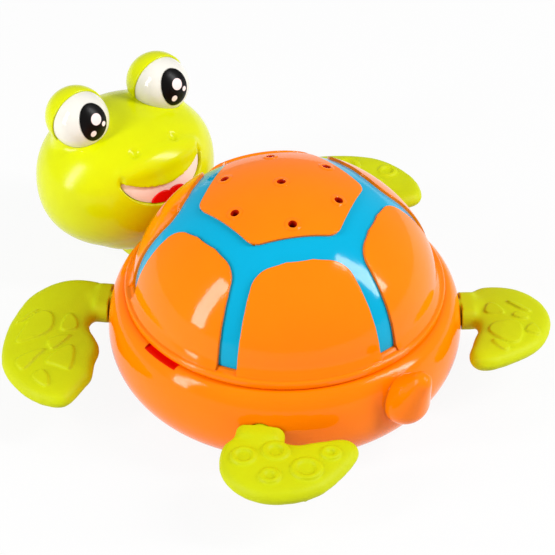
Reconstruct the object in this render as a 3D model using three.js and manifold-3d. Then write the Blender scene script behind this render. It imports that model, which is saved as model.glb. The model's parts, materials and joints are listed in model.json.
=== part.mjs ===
// Floating turtle bath toy: a round hull, a lift-off sprinkler shell, a head that turns on its neck
// and four flippers that turn on their stems.
// Millimetres, +Z up. The origin is the middle of the flat foot. The hull's head end is towards -Y,
// its tail towards +Y, and the turtle's left side is +X.
import * as THREE from 'three';
import { mergeVertices } from 'three/addons/utils/BufferGeometryUtils.js';
import Module from 'manifold-3d';

const wasm = await Module();
wasm.setup();

// Clearance left wherever two pieces meet.
const GAP = 0.3;

// Hull: a bowl with a flat foot, a bulging side and a flat rim that the shell stands on.
const HULL_WALL = 2.2;
const HULL_FLOOR = 2.6;
const RIM_RADIUS = 60;
const RIM_HEIGHT = 38;
const BULGE_OUT = 6.8;
const BULGE_DROP = 17;
const FOOT_IN = 14;
const RIM_LAND = 4;
const COLLAR_WALL = 2;
const COLLAR_DEPTH = 9;
const NOTCH_WIDTH = 14;
const NOTCH_HEIGHT = 2;

// The tail, the notch and the flippers stand turned by a little against the line of the head.
const BODY_TURN = 2;

// Tail: a teardrop moulded with the hull, turned up at the back. Its length is between the middles
// of its round base and its round tip.
const TAIL_BASE_RADIUS = 8.6;
const TAIL_TIP_RADIUS = 2.6;
const TAIL_LENGTH = 18.1;
const TAIL_SINK = 1.4;
const TAIL_LIFT = 1.4;
const TAIL_RISE = 59.5;

// Inner tray: closes the float chamber under the shell.
const TRAY_WALL = 2;
const TRAY_FLARE = 20;
const TRAY_SINK = 9;

// Screws of the hull, and the pillars that they pass through.
const PILLAR_RADIUS = 5;
const PILLAR_INSET = 16;
const PILLAR_HEIGHT = 16;
const COUNTERBORE = 5;
const SCREW_RADIUS = 1.5;
const SCREW_HEAD_RADIUS = 2.8;
const SCREW_HEAD_HEIGHT = 1.4;
const SCREW_CROWN_RADIUS = 2;
const SCREW_BITE = 5;
const SCREW_COLOUR = 0xb8bcc0;

// Sprinkler shell: a domed cup with a lip, a skirt that drops into the hull and channels for the web.
const LIP_LEDGE = 2.8;
const SHELL_RISE = 47;
const SHELL_WALL = 3.4;
const LIP_HEIGHT = 3.1;
const LIP_ROUND = 0.8;
const SKIRT_DEPTH = 3.5;
const SKIRT_WALL = 2;
const CHANNEL_DEPTH = 2.2;
const WEB_RECESS = 1.1;
const SCUTE_SIDES = 6;
const SCUTE_INSET = 26.2;
const SCUTE_SHIFT = 2.1;
const WEB_WIDTH = 8.5;
const LEG_WIDTH = 7.5;
const SPRAY_HOLE_RADIUS = 1.5;
const SPRAY_INSET = 9.1;

// Head: a soft hollow egg, wider than deep, that sits a little forward of its neck.
const HEAD_HALF_WIDTH = 37.5;
const HEAD_HALF_DEPTH = 32;
const HEAD_HALF_HEIGHT = 28;
const HEAD_CENTRE = 39;
const HEAD_FULLNESS = 2.3;
const HEAD_BASE = 13.5;
const HEAD_OFFSET = 7.5;
const HEAD_WALL = 2.6;
const HEAD_YAW = 1.5;
const HEAD_CLEARANCE = 1;

// Muzzle: a low swelling over the mouth, which carries the nostrils.
const MUZZLE_HALF_WIDTH = 22;
const MUZZLE_HALF_DEPTH = 10;
const MUZZLE_HALF_HEIGHT = 9;
const MUZZLE_FORWARD = 20;
const MUZZLE_RISE = 16.5;

// Chin: a full swelling low on the front of the head.
const CHIN_HALF_WIDTH = 28;
const CHIN_HALF_DEPTH = 20.5;
const CHIN_HALF_HEIGHT = 18;
const CHIN_FORWARD = 8.5;
const CHIN_DROP = 11;

// Eyes: balls in hoods on top of the head, with pupils let into their fronts.
const EYE_RADIUS = 11.5;
const EYE_SPREAD = 19.5;
const EYE_FORWARD = -2.3;
const EYE_RISE = 30.3;
const HOOD_WALL = 0.5;
const HOOD_SETBACK = 3.6;
const STALK_RADIUS = 10;
const PUPIL_HALF_WIDTH = 6.4;
const PUPIL_HALF_HEIGHT = 8.2;
const PUPIL_THICKNESS = 0.6;
const PUPIL_LIFT = 20;

// Mouth: an open smile with a pale lining and a tongue, and two nostrils above it.
const MOUTH_HALF_WIDTH = 18.8;
const MOUTH_CORNER_RISE = 13.5;
const UPPER_LIP_RISE = 10.3;
const LOWER_LIP_RISE = 2;
const MOUTH_DEPTH = 9;
const LINING_THICKNESS = 2.5;
const TONGUE_HALF_WIDTH = 8;
const TONGUE_HEIGHT = 6.5;
const TONGUE_THICKNESS = 2.5;
const TONGUE_LOBE = 1.6;
const NOSTRIL_SPREAD = 8.5;
const NOSTRIL_RISE = 22;
const NOSTRIL_RADIUS = 1.8;

// Neck: an arm from the hull to under the head, with a knob that the head turns on.
const ARM_HALF_WIDTH = 7.5;
const ARM_ENGAGEMENT = 10;
const ARM_EDGE = 0.8;
const PAD_RADIUS = 11;
const ARM_SCREW_SPREAD = 4;
const ARM_SCREW_INSET = 7;
const ARM_SCREW_BITE = 3.2;
const KNOB_RADIUS = 4;
const KNOB_FLANGE_RADIUS = 6.5;
const KNOB_FLANGE_HEIGHT = 2.4;
const KNOB_SEAT_DEPTH = 3;
const KNOB_SCREW_BITE = 4;

// Flippers: flat soft paddles on round stems, all swept to the rear.
const STEM_RADIUS = 7.5;
const STEM_LENGTH = 4;
const STEM_TAPER = 13;
const STEM_SHOULDER = 6;
const STEM_LIFT = 2;
const SHAFT_RADIUS = 4.5;
const BUSH_PROUD = 0.8;
const BUSH_DEPTH = 5.5;
const PLUG_RADIUS = 7;
const PLUG_THICKNESS = 2.5;
const PLUG_STUB_RADIUS = 2.2;
const PLUG_STUB_LENGTH = 8;
const FRONT_FIN_ANGLE = 49;
const REAR_FIN_ANGLE = 40;
const FIN_TILT = 3;
const FIN_THICKNESS = 8;
const FIN_ROUND = 3.8;
const RELIEF_HEIGHT = 0.7;
const RING_BORE = 0.6;
const FRONT_FIN_LENGTH = 35.4;
const FRONT_FIN_SWEEP = 57;
const REAR_FIN_LENGTH = 32.4;
const REAR_FIN_SWEEP = 36;

// Smoothness of round shapes.
const BODY_SIDES = 28;
const CURVE_STEPS = 4;
const DOME_STEPS = 7;
const BAR_SIDES = 12;
const BALL_COLUMNS = 14;
const BALL_ROWS = 8;
const HEAD_SIDES = 24;
const HEAD_STEPS = 9;
const RING_SIDES = 8;
const FIN_STEPS = 34;
const SCREW_SIDES = 8;
const REACH = 200;

// How far a cutting shape runs past the face that it opens.
const OVERCUT = 1;

// Heights and radii that the pieces share.
const bulgeRadius = RIM_RADIUS + BULGE_OUT;
const bulgeHeight = RIM_HEIGHT - BULGE_DROP;
const footRadius = RIM_RADIUS - FOOT_IN;
const pillarCircle = footRadius - PILLAR_INSET;
const armRoot = footRadius - ARM_ENGAGEMENT;
const rimInner = RIM_RADIUS - RIM_LAND;
const trayFloorRadius = rimInner - TRAY_FLARE;
const shellRadius = RIM_RADIUS - LIP_LEDGE;
const scuteRadius = shellRadius - SCUTE_INSET;
const sprayCircle = scuteRadius - SPRAY_INSET;
const stemHeight = bulgeHeight + STEM_LIFT;
const collarOuter = rimInner + COLLAR_WALL;
const skirtOuter = rimInner - GAP;
const lipUnderside = RIM_HEIGHT + GAP;
const lipTop = lipUnderside + LIP_HEIGHT;
const trayTop = RIM_HEIGHT - SKIRT_DEPTH - GAP;
const trayRimBottom = RIM_HEIGHT - COLLAR_DEPTH;
const trayFloorTop = trayTop - TRAY_SINK;
const trayUnderside = trayFloorTop - TRAY_WALL;
const armBottom = HULL_FLOOR + GAP;
const armTop = HEAD_BASE - GAP;
const knobSeat = armTop - KNOB_SEAT_DEPTH;
const eyeHeight = HEAD_CENTRE + EYE_RISE;
const mouthCorner = HEAD_CENTRE + MOUTH_CORNER_RISE;
const upperLip = HEAD_CENTRE + UPPER_LIP_RISE;
const lowerLip = HEAD_CENTRE + LOWER_LIP_RISE;
const nostrilHeight = HEAD_CENTRE + NOSTRIL_RISE;
const muzzleFront = HEAD_OFFSET + MUZZLE_FORWARD;
const muzzleHeight = HEAD_CENTRE + MUZZLE_RISE;
const bushFace = bulgeRadius + BUSH_PROUD;
const bushBack = bulgeRadius - BUSH_DEPTH;
const finRoot = bushFace + GAP;

const radians = THREE.MathUtils.degToRad;

// How far the head's outline reaches from its neck as it turns.
function headReach() {
  let reach = 0;
  for (let degrees = 0; degrees <= 180; degrees += 5) {
    const along = Math.cos(radians(degrees));
    const across = Math.sin(radians(degrees));
    const oval = Math.hypot(HEAD_HALF_DEPTH * along, HEAD_HALF_WIDTH * across);
    reach = Math.max(reach, HEAD_OFFSET * along + oval);
  }
  return reach;
}

// How wide the head is at a height, as a share of its widest.
function headShare(height) {
  const level = Math.pow(Math.abs(height - HEAD_CENTRE) / HEAD_HALF_HEIGHT, HEAD_FULLNESS);
  return Math.pow(Math.max(0, 1 - level), 1 / HEAD_FULLNESS);
}

// Turns a three.js geometry into a solid that can be cut and joined.
function solid(geometry) {
  const bare = geometry.clone();
  bare.deleteAttribute('normal');
  bare.deleteAttribute('uv');
  const merged = mergeVertices(bare, 1e-4);
  const corners = merged.index.array;
  const triangles = [];
  for (let i = 0; i < corners.length; i += 3) {
    const [a, b, c] = [corners[i], corners[i + 1], corners[i + 2]];
    if (a !== b && b !== c && c !== a) triangles.push(a, b, c);
  }
  return new wasm.Manifold(new wasm.Mesh({
    numProp: 3,
    vertProperties: Float32Array.from(merged.attributes.position.array),
    triVerts: Uint32Array.from(triangles),
  }));
}

// Makes a named mesh of a finished solid.
function piece(name, shape, color, roughness) {
  const { vertProperties, triVerts } = shape.getMesh();
  const geometry = new THREE.BufferGeometry();
  geometry.setAttribute('position', new THREE.BufferAttribute(vertProperties, 3));
  geometry.setIndex(new THREE.BufferAttribute(triVerts, 1));
  geometry.computeVertexNormals();
  const material = new THREE.MeshStandardMaterial({ color, roughness, metalness: 0 });
  const mesh = new THREE.Mesh(geometry, material);
  mesh.name = name;
  return mesh;
}

// A shape of revolution about Z from [radius, height] points, which start and end on the axis.
function turned(points, sides = BODY_SIDES) {
  const profile = points.map(([radius, height]) => new THREE.Vector2(radius, height));
  return new THREE.LatheGeometry(profile, sides).rotateX(Math.PI / 2);
}

// A round bar along Z.
function post(radius, low, high, sides = BAR_SIDES) {
  return new THREE.CylinderGeometry(radius, radius, high - low, sides)
    .rotateX(Math.PI / 2)
    .translate(0, 0, (low + high) / 2);
}

// A round bar along X.
function rod(radius, near, far, sides = BAR_SIDES) {
  return new THREE.CylinderGeometry(radius, radius, far - near, sides)
    .rotateZ(Math.PI / 2)
    .translate((near + far) / 2, 0, 0);
}

// A box between two corners.
function block(low, high) {
  const [width, depth, height] = low.map((value, axis) => high[axis] - value);
  return new THREE.BoxGeometry(width, depth, height)
    .translate((low[0] + high[0]) / 2, (low[1] + high[1]) / 2, (low[2] + high[2]) / 2);
}

// A prism along Z of a flat outline.
function prism(shape, low, high, curveSegments = CURVE_STEPS) {
  return new THREE.ExtrudeGeometry(shape, { depth: high - low, bevelEnabled: false, curveSegments })
    .translate(0, 0, low);
}

// A round-headed screw that points up from the underside of its head.
function screwForm(seat, tip) {
  return turned([
    [0, seat - SCREW_HEAD_HEIGHT],
    [SCREW_CROWN_RADIUS, seat - SCREW_HEAD_HEIGHT],
    [SCREW_HEAD_RADIUS, seat - SCREW_HEAD_HEIGHT / 2],
    [SCREW_HEAD_RADIUS, seat],
    [SCREW_RADIUS, seat],
    [SCREW_RADIUS, tip - SCREW_RADIUS],
    [0, tip],
  ], SCREW_SIDES);
}

// The hull's side: out from the foot, round the bulge and in to the rim.
function hullSide(foot, footHeight, bulge, rim, rimHeight) {
  const points = [];
  for (let step = 0; step <= CURVE_STEPS; step += 1) {
    const turn = (step / CURVE_STEPS) * Math.PI / 2;
    const radius = foot + (bulge - foot) * Math.sin(turn);
    points.push([radius, footHeight + (bulgeHeight - footHeight) * (1 - Math.cos(turn))]);
  }
  for (let step = 1; step <= CURVE_STEPS; step += 1) {
    const turn = (step / CURVE_STEPS) * Math.PI / 2;
    const radius = rim + (bulge - rim) * Math.cos(turn);
    points.push([radius, bulgeHeight + (rimHeight - bulgeHeight) * Math.sin(turn)]);
  }
  return points;
}

const hullOutside = hullSide(footRadius, 0, bulgeRadius, RIM_RADIUS, RIM_HEIGHT);

// The neck stands so far out that the turning head clears the hull at every height.
const neckReaches = hullOutside.map(([radius, height]) => radius + headReach() * headShare(height));
const neckDistance = Math.max(...neckReaches) + HEAD_CLEARANCE;

// The tail's teardrop, thinner by the given amount.
function tailForm(inset) {
  const base = TAIL_BASE_RADIUS - inset;
  const tip = TAIL_TIP_RADIUS - inset;
  const slope = Math.asin((base - tip) / TAIL_LENGTH);
  const points = [];
  for (let step = 0; step <= CURVE_STEPS; step += 1) {
    const turn = (step / CURVE_STEPS) * (slope + Math.PI / 2) - Math.PI / 2;
    points.push([base * Math.cos(turn), base * Math.sin(turn)]);
  }
  for (let step = 0; step <= CURVE_STEPS; step += 1) {
    const turn = slope + (step / CURVE_STEPS) * (Math.PI / 2 - slope);
    points.push([tip * Math.cos(turn), TAIL_LENGTH + tip * Math.sin(turn)]);
  }
  points[0][0] = 0;
  points[points.length - 1][0] = 0;
  return turned(points, BAR_SIDES)
    .rotateX(radians(TAIL_RISE - 90))
    .translate(0, bulgeRadius - TAIL_SINK, bulgeHeight + TAIL_LIFT)
    .rotateZ(radians(BODY_TURN));
}

// Where the hull's pillars and the tray's bosses stand.
const pillarPlaces = [45, 135, 225, 315].map((degrees) => [
  pillarCircle * Math.cos(radians(degrees)),
  pillarCircle * Math.sin(radians(degrees)),
]);

// The four flippers: which way each stem points before the body's own turn, which side it is on, how
// far its rear edge is turned up as it rests, and which pattern is on its upper face.
const fins = [
  { name: 'front_left', turn: -FRONT_FIN_ANGLE, side: 1, tilt: -FIN_TILT, front: true, upper: 'pads' },
  { name: 'front_right', turn: 180 + FRONT_FIN_ANGLE, side: -1, tilt: 0, front: true, upper: 'rings' },
  { name: 'rear_left', turn: REAR_FIN_ANGLE, side: 1, tilt: 0, front: false, upper: 'rings' },
  { name: 'rear_right', turn: 180 - REAR_FIN_ANGLE, side: -1, tilt: FIN_TILT, front: false, upper: 'pads' },
];

// Where the neck arm's two screws stand.
const armScrewRow = -armRoot - ARM_SCREW_INSET;
const armScrewPlaces = [-ARM_SCREW_SPREAD, ARM_SCREW_SPREAD].map((x) => [x, armScrewRow]);
const armScrewSeat = SCREW_HEAD_HEIGHT + GAP;
const hullScrewTip = PILLAR_HEIGHT + GAP + SCREW_BITE;

function makeHull() {
  const bowl = solid(turned([[0, 0], ...hullOutside, [0, RIM_HEIGHT]]));
  const inside = hullSide(
    footRadius, HULL_FLOOR, bulgeRadius - HULL_WALL, collarOuter, RIM_HEIGHT - HULL_WALL);
  const chamber = solid(turned([
    [0, HULL_FLOOR],
    ...inside,
    [collarOuter, trayRimBottom],
    [rimInner, trayRimBottom],
    [rimInner, RIM_HEIGHT + OVERCUT],
    [0, RIM_HEIGHT + OVERCUT],
  ]));
  let hull = bowl.add(solid(tailForm(0))).subtract(chamber).subtract(solid(tailForm(HULL_WALL)));

  // The finger notch under the shell's lip, in a closed pocket.
  const half = NOTCH_WIDTH / 2;
  const notchFloor = RIM_HEIGHT - NOTCH_HEIGHT;
  const pocketLow = [rimInner + GAP, -half - HULL_WALL, notchFloor - HULL_WALL];
  const pocket = block(pocketLow, [REACH, half + HULL_WALL, RIM_HEIGHT]).rotateZ(radians(BODY_TURN));
  const notch = block([collarOuter, -half, notchFloor], [REACH, half, RIM_HEIGHT + OVERCUT]);
  hull = hull.add(solid(pocket).intersect(bowl)).subtract(solid(notch.rotateZ(radians(BODY_TURN))));

  // Pillars for the tray's screws, open from below.
  for (const [x, y] of pillarPlaces) {
    const pillar = post(PILLAR_RADIUS, HULL_FLOOR / 2, PILLAR_HEIGHT).translate(x, y, 0);
    const well = post(SCREW_HEAD_RADIUS + GAP, -OVERCUT, COUNTERBORE, SCREW_SIDES).translate(x, y, 0);
    const bore = post(SCREW_RADIUS + GAP, 0, PILLAR_HEIGHT + OVERCUT, SCREW_SIDES).translate(x, y, 0);
    hull = hull.add(solid(pillar)).subtract(solid(well)).subtract(solid(bore));
  }

  // Bushes that the flipper stems turn in.
  for (const { turn } of fins) {
    const bush = solid(rod(STEM_RADIUS, bushBack, bushFace));
    const bore = solid(rod(SHAFT_RADIUS + GAP, bushBack - OVERCUT, bushFace + OVERCUT));
    const placed = (shape) => shape.rotate([0, 0, turn + BODY_TURN]).translate([0, 0, stemHeight]);
    hull = hull.add(placed(bush)).subtract(placed(bore));
  }

  // The neck arm's slot through the front wall, and its screw holes in the floor.
  const slotHalf = ARM_HALF_WIDTH + GAP;
  const slot = block([-slotHalf, -REACH, HULL_FLOOR], [slotHalf, -armRoot, armTop + GAP]);
  hull = hull.subtract(solid(slot));
  for (const [x, y] of armScrewPlaces) {
    const well = post(SCREW_HEAD_RADIUS + GAP, -OVERCUT, armScrewSeat + GAP, SCREW_SIDES).translate(x, y, 0);
    const bore = post(SCREW_RADIUS + GAP, 0, HULL_FLOOR + OVERCUT, SCREW_SIDES).translate(x, y, 0);
    hull = hull.subtract(solid(well)).subtract(solid(bore));
  }
  return piece('hull', hull, 0xff8a00, 0.2);
}

function makeTray() {
  const lipInner = skirtOuter - TRAY_WALL;
  let tray = solid(turned([
    [0, trayUnderside],
    [trayFloorRadius, trayUnderside],
    [skirtOuter, trayRimBottom],
    [skirtOuter, trayTop],
    [lipInner, trayTop],
    [lipInner, trayRimBottom + TRAY_WALL],
    [trayFloorRadius, trayFloorTop],
    [0, trayFloorTop],
  ]));
  const bossBottom = PILLAR_HEIGHT + GAP;
  for (const [x, y] of pillarPlaces) {
    const boss = post(PILLAR_RADIUS, bossBottom, trayUnderside + TRAY_WALL / 2).translate(x, y, 0);
    const bore = post(SCREW_RADIUS + GAP, bossBottom - OVERCUT, hullScrewTip + GAP, SCREW_SIDES);
    tray = tray.add(solid(boss)).subtract(solid(bore.translate(x, y, 0)));
  }
  return piece('inner_tray', tray, 0xff8a00, 0.3);
}

function makeHullScrews() {
  return pillarPlaces.map(([x, y], index) => {
    const form = screwForm(COUNTERBORE - GAP, hullScrewTip);
    const screw = piece(`hull_screw_${index + 1}`, solid(form), SCREW_COLOUR, 0.3);
    screw.material.metalness = 1;
    screw.position.set(x, y, 0);
    return screw;
  });
}

// The shell's domed surface, lowered by the given depth, above the top of the lip.
function domeCurve(depth) {
  const radius = shellRadius - depth;
  const rise = SHELL_RISE - depth;
  const start = Math.asin((lipTop - RIM_HEIGHT) / rise);
  const points = [];
  for (let step = 0; step < DOME_STEPS; step += 1) {
    const turn = start + (step / DOME_STEPS) * (Math.PI / 2 - start);
    points.push([radius * Math.cos(turn), RIM_HEIGHT + rise * Math.sin(turn)]);
  }
  points.push([0, RIM_HEIGHT + rise]);
  return points;
}

// The plan of the web: a band round the top scute and a leg from each of its corners.
function webPlan(grow) {
  const sector = Math.PI / SCUTE_SIDES;
  const flat = scuteRadius * Math.cos(sector);
  const inner = solid(post((flat - grow) / Math.cos(sector), 0, REACH, SCUTE_SIDES));
  const outer = solid(post((flat + WEB_WIDTH + grow) / Math.cos(sector), 0, REACH, SCUTE_SIDES));
  let web = outer.subtract(inner);
  const half = LEG_WIDTH / 2 + grow;
  for (let leg = 0; leg < SCUTE_SIDES; leg += 1) {
    const arm = block([-half, scuteRadius + WEB_WIDTH / 2, 0], [half, REACH, REACH]);
    web = web.add(solid(arm.rotateZ(2 * leg * sector)));
  }
  return web.translate([0, -SCUTE_SHIFT, lipTop + Math.max(0, -grow)]);
}

function makeShellDome() {
  const inner = [];
  const hollowRadius = skirtOuter - SKIRT_WALL;
  const hollowRise = SHELL_RISE - SHELL_WALL;
  for (let step = 0; step <= CURVE_STEPS; step += 1) {
    const turn = (1 - step / CURVE_STEPS) * Math.PI / 2;
    inner.push([hollowRadius * Math.cos(turn), RIM_HEIGHT + hollowRise * Math.sin(turn)]);
  }
  inner[0][0] = 0;
  const skirtBottom = RIM_HEIGHT - SKIRT_DEPTH;
  let dome = solid(turned([
    ...inner,
    [hollowRadius, skirtBottom],
    [skirtOuter, skirtBottom],
    [skirtOuter, lipUnderside],
    [RIM_RADIUS, lipUnderside],
    [RIM_RADIUS, lipTop - LIP_ROUND],
    [RIM_RADIUS - LIP_ROUND, lipTop],
    ...domeCurve(0),
  ]));
  const core = solid(turned([[0, 0], [shellRadius - CHANNEL_DEPTH, 0], ...domeCurve(CHANNEL_DEPTH)]));
  dome = dome.subtract(webPlan(0).subtract(core));
  const places = [[0, 0]];
  for (let hole = 0; hole < SCUTE_SIDES; hole += 1) {
    const turn = (2 * hole + 1) * Math.PI / SCUTE_SIDES;
    places.push([sprayCircle * Math.sin(turn), sprayCircle * Math.cos(turn)]);
  }
  for (const [x, y] of places) {
    const hole = post(SPRAY_HOLE_RADIUS, RIM_HEIGHT, REACH, SCREW_SIDES).translate(x, y - SCUTE_SHIFT, 0);
    dome = dome.subtract(solid(hole));
  }
  return piece('shell_dome', dome, 0xff8a00, 0.2);
}

function makeShellWeb() {
  const top = solid(turned([[0, 0], [shellRadius - WEB_RECESS, 0], ...domeCurve(WEB_RECESS)]));
  const under = CHANNEL_DEPTH - GAP;
  const bed = solid(turned([[0, 0], [shellRadius - under, 0], ...domeCurve(under)]));
  return piece('shell_web', webPlan(-GAP).intersect(top).subtract(bed), 0x12b4e2, 0.25);
}

// The neck arm's plan: a bar out of the hull that ends in a round pad under the head.
function armPlan() {
  const spread = Math.asin(ARM_HALF_WIDTH / PAD_RADIUS);
  const plan = new THREE.Shape();
  plan.moveTo(ARM_HALF_WIDTH - ARM_EDGE, -armRoot - ARM_EDGE - GAP);
  plan.lineTo(-ARM_HALF_WIDTH + ARM_EDGE, -armRoot - ARM_EDGE - GAP);
  const arcStart = Math.PI / 2 + spread;
  const arcEnd = Math.PI * 2.5 - spread;
  plan.absarc(0, -neckDistance, PAD_RADIUS - ARM_EDGE, arcStart, arcEnd, false);
  plan.closePath();
  return plan;
}

function makeNeckArm() {
  const bar = new THREE.ExtrudeGeometry(armPlan(), {
    depth: armTop - armBottom - 2 * ARM_EDGE,
    bevelThickness: ARM_EDGE,
    bevelSize: ARM_EDGE,
    bevelSegments: 1,
    curveSegments: BAR_SIDES,
  }).translate(0, 0, armBottom + ARM_EDGE);
  let arm = solid(bar);
  for (const [x, y] of armScrewPlaces) {
    const pilot = post(SCREW_RADIUS + GAP, 0, armBottom + ARM_SCREW_BITE + GAP, SCREW_SIDES);
    arm = arm.subtract(solid(pilot.translate(x, y, 0)));
  }
  const socket = post(KNOB_RADIUS + GAP, knobSeat, armTop + OVERCUT);
  const well = post(SCREW_HEAD_RADIUS + GAP, 0, armBottom + SCREW_HEAD_HEIGHT + GAP, SCREW_SIDES);
  const bore = post(SCREW_RADIUS + GAP, 0, armTop, SCREW_SIDES);
  for (const cut of [socket, well, bore]) {
    arm = arm.subtract(solid(cut.translate(0, -neckDistance, 0)));
  }
  return piece('neck_arm', arm, 0xd8e400, 0.45);
}

function makeArmScrews() {
  return armScrewPlaces.map(([x, y], index) => {
    const form = screwForm(armScrewSeat, armBottom + ARM_SCREW_BITE);
    const screw = piece(`neck_arm_screw_${index + 1}`, solid(form), SCREW_COLOUR, 0.3);
    screw.material.metalness = 1;
    screw.position.set(x, y, 0);
    return screw;
  });
}

function makeNeckKnob() {
  const flange = HEAD_BASE + HEAD_WALL + GAP;
  const top = flange + KNOB_FLANGE_HEIGHT;
  const bottom = knobSeat + GAP;
  const knob = solid(turned([
    [0, bottom],
    [KNOB_RADIUS, bottom],
    [KNOB_RADIUS, flange],
    [KNOB_FLANGE_RADIUS, flange],
    [KNOB_FLANGE_RADIUS, flange + KNOB_FLANGE_HEIGHT / 2],
    [KNOB_RADIUS, top],
    [0, top],
  ], BAR_SIDES));
  const pilot = post(SCREW_RADIUS + GAP, 0, bottom + KNOB_SCREW_BITE + GAP, SCREW_SIDES);
  return piece('neck_knob', knob.subtract(solid(pilot)), 0xf2f2ee, 0.4);
}

function makeNeckScrew() {
  const seat = armBottom + SCREW_HEAD_HEIGHT;
  const form = screwForm(seat, knobSeat + GAP + KNOB_SCREW_BITE);
  const screw = piece('neck_screw', solid(form), SCREW_COLOUR, 0.3);
  screw.material.metalness = 1;
  return screw;
}

// The head's egg, thinner by the given amount and cut flat at the given height.
function headForm(inset, floor, sides) {
  const halfWidth = HEAD_HALF_WIDTH - inset;
  const halfHeight = HEAD_HALF_HEIGHT - inset;
  const start = -Math.pow((HEAD_CENTRE - floor) / halfHeight, HEAD_FULLNESS / 2);
  const low = Math.asin(Math.max(-1, start));
  const points = [[0, floor]];
  for (let step = 0; step <= HEAD_STEPS; step += 1) {
    const turn = low + (step / HEAD_STEPS) * (Math.PI / 2 - low);
    const radius = halfWidth * Math.pow(Math.abs(Math.cos(turn)), 2 / HEAD_FULLNESS);
    const lift = halfHeight * Math.pow(Math.abs(Math.sin(turn)), 2 / HEAD_FULLNESS);
    points.push([radius, HEAD_CENTRE + Math.sign(turn) * lift]);
  }
  points[points.length - 1][0] = 0;
  return turned(points, sides)
    .scale(1, (HEAD_HALF_DEPTH - inset) / halfWidth, 1)
    .translate(0, HEAD_OFFSET, 0);
}

// A swelling on the front of the head: a stretched ball.
function swelling(halfWidth, halfDepth, halfHeight, front, height) {
  const ball = new THREE.SphereGeometry(1, HEAD_SIDES, HEAD_STEPS).rotateX(Math.PI / 2);
  return solid(ball.scale(halfWidth, halfDepth, halfHeight).translate(0, front, height));
}

// How far forward the muzzle's surface is at a nostril.
function nostrilFront() {
  const across = NOSTRIL_SPREAD / MUZZLE_HALF_WIDTH;
  const up = (nostrilHeight - muzzleHeight) / MUZZLE_HALF_HEIGHT;
  return muzzleFront + MUZZLE_HALF_DEPTH * Math.sqrt(1 - across ** 2 - up ** 2);
}

// The open mouth seen from the front, grown all round, as a prism that points forward.
function mouthForm(grow, back, front) {
  const half = MOUTH_HALF_WIDTH + 2 * grow;
  const corner = mouthCorner + 2 * grow;
  const mouth = new THREE.Shape();
  mouth.moveTo(-half, corner);
  mouth.absellipse(0, corner, half, corner - lowerLip + grow, Math.PI, 2 * Math.PI);
  mouth.quadraticCurveTo(0, 2 * (upperLip + grow) - corner, -half, corner);
  return solid(prism(mouth, -front, -back, HEAD_STEPS).rotateX(Math.PI / 2));
}

// A ball of the given size at an eye's place.
function eyeBall(side, radius, setback = 0) {
  const ball = new THREE.SphereGeometry(radius, BALL_COLUMNS, BALL_ROWS).rotateX(Math.PI / 2);
  return solid(ball.translate(side * EYE_SPREAD, HEAD_OFFSET + EYE_FORWARD - setback, eyeHeight));
}

const mouthBack = HEAD_OFFSET + HEAD_HALF_DEPTH - MOUTH_DEPTH;
const liningBack = mouthBack + GAP;
const liningFront = liningBack + LINING_THICKNESS;

function makeHead() {
  let head = solid(headForm(0, HEAD_BASE, HEAD_SIDES));
  let hollow = solid(headForm(HEAD_WALL, HEAD_BASE + HEAD_WALL, BALL_COLUMNS));
  hollow = hollow.subtract(mouthForm(HEAD_WALL, mouthBack - HEAD_WALL, REACH));
  for (const side of [1, -1]) {
    const stalk = post(STALK_RADIUS, HEAD_CENTRE, eyeHeight)
      .translate(side * EYE_SPREAD, HEAD_OFFSET + EYE_FORWARD - HOOD_SETBACK, 0);
    head = head.add(eyeBall(side, EYE_RADIUS + HOOD_WALL, HOOD_SETBACK)).add(solid(stalk));
    hollow = hollow.subtract(eyeBall(side, EYE_RADIUS + HEAD_WALL));
  }
  const chin = swelling(
    CHIN_HALF_WIDTH, CHIN_HALF_DEPTH, CHIN_HALF_HEIGHT, HEAD_OFFSET + CHIN_FORWARD, HEAD_CENTRE - CHIN_DROP);
  const muzzle = swelling(
    MUZZLE_HALF_WIDTH, MUZZLE_HALF_DEPTH, MUZZLE_HALF_HEIGHT, muzzleFront, muzzleHeight);
  const below = solid(block([-REACH, -REACH, 0], [REACH, REACH, HEAD_BASE]));
  head = head.add(muzzle).add(chin.subtract(below)).subtract(hollow);
  for (const side of [1, -1]) {
    const nostril = new THREE.SphereGeometry(NOSTRIL_RADIUS, SCREW_SIDES, CURVE_STEPS)
      .translate(side * NOSTRIL_SPREAD, nostrilFront() + NOSTRIL_RADIUS / 2, nostrilHeight);
    head = head.subtract(eyeBall(side, EYE_RADIUS + GAP)).subtract(solid(nostril));
  }
  head = head.subtract(mouthForm(0, mouthBack, REACH));
  head = head.subtract(solid(post(KNOB_RADIUS + GAP, 0, HEAD_BASE + 2 * HEAD_WALL)));
  return piece('head', head, 0xd8e400, 0.45);
}

// A pupil's oval column, which points out of the front of an eye, grown all round.
function pupilColumn(side, grow) {
  return rod(1, 0, REACH, BAR_SIDES)
    .rotateZ(Math.PI / 2)
    .scale(PUPIL_HALF_WIDTH + grow, 1, PUPIL_HALF_HEIGHT + grow)
    .rotateX(radians(PUPIL_LIFT))
    .translate(side * EYE_SPREAD, HEAD_OFFSET + EYE_FORWARD, eyeHeight);
}

function makeEye(side, label) {
  const floor = EYE_RADIUS - PUPIL_THICKNESS;
  const recess = solid(pupilColumn(side, GAP)).subtract(eyeBall(side, floor));
  const cap = eyeBall(side, EYE_RADIUS + GAP).subtract(eyeBall(side, floor + GAP));
  return [
    piece(`eyeball_${label}`, eyeBall(side, EYE_RADIUS).subtract(recess), 0xf8f8f6, 0.15),
    piece(`pupil_${label}`, solid(pupilColumn(side, 0)).intersect(cap), 0x101010, 0.15),
  ];
}

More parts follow.
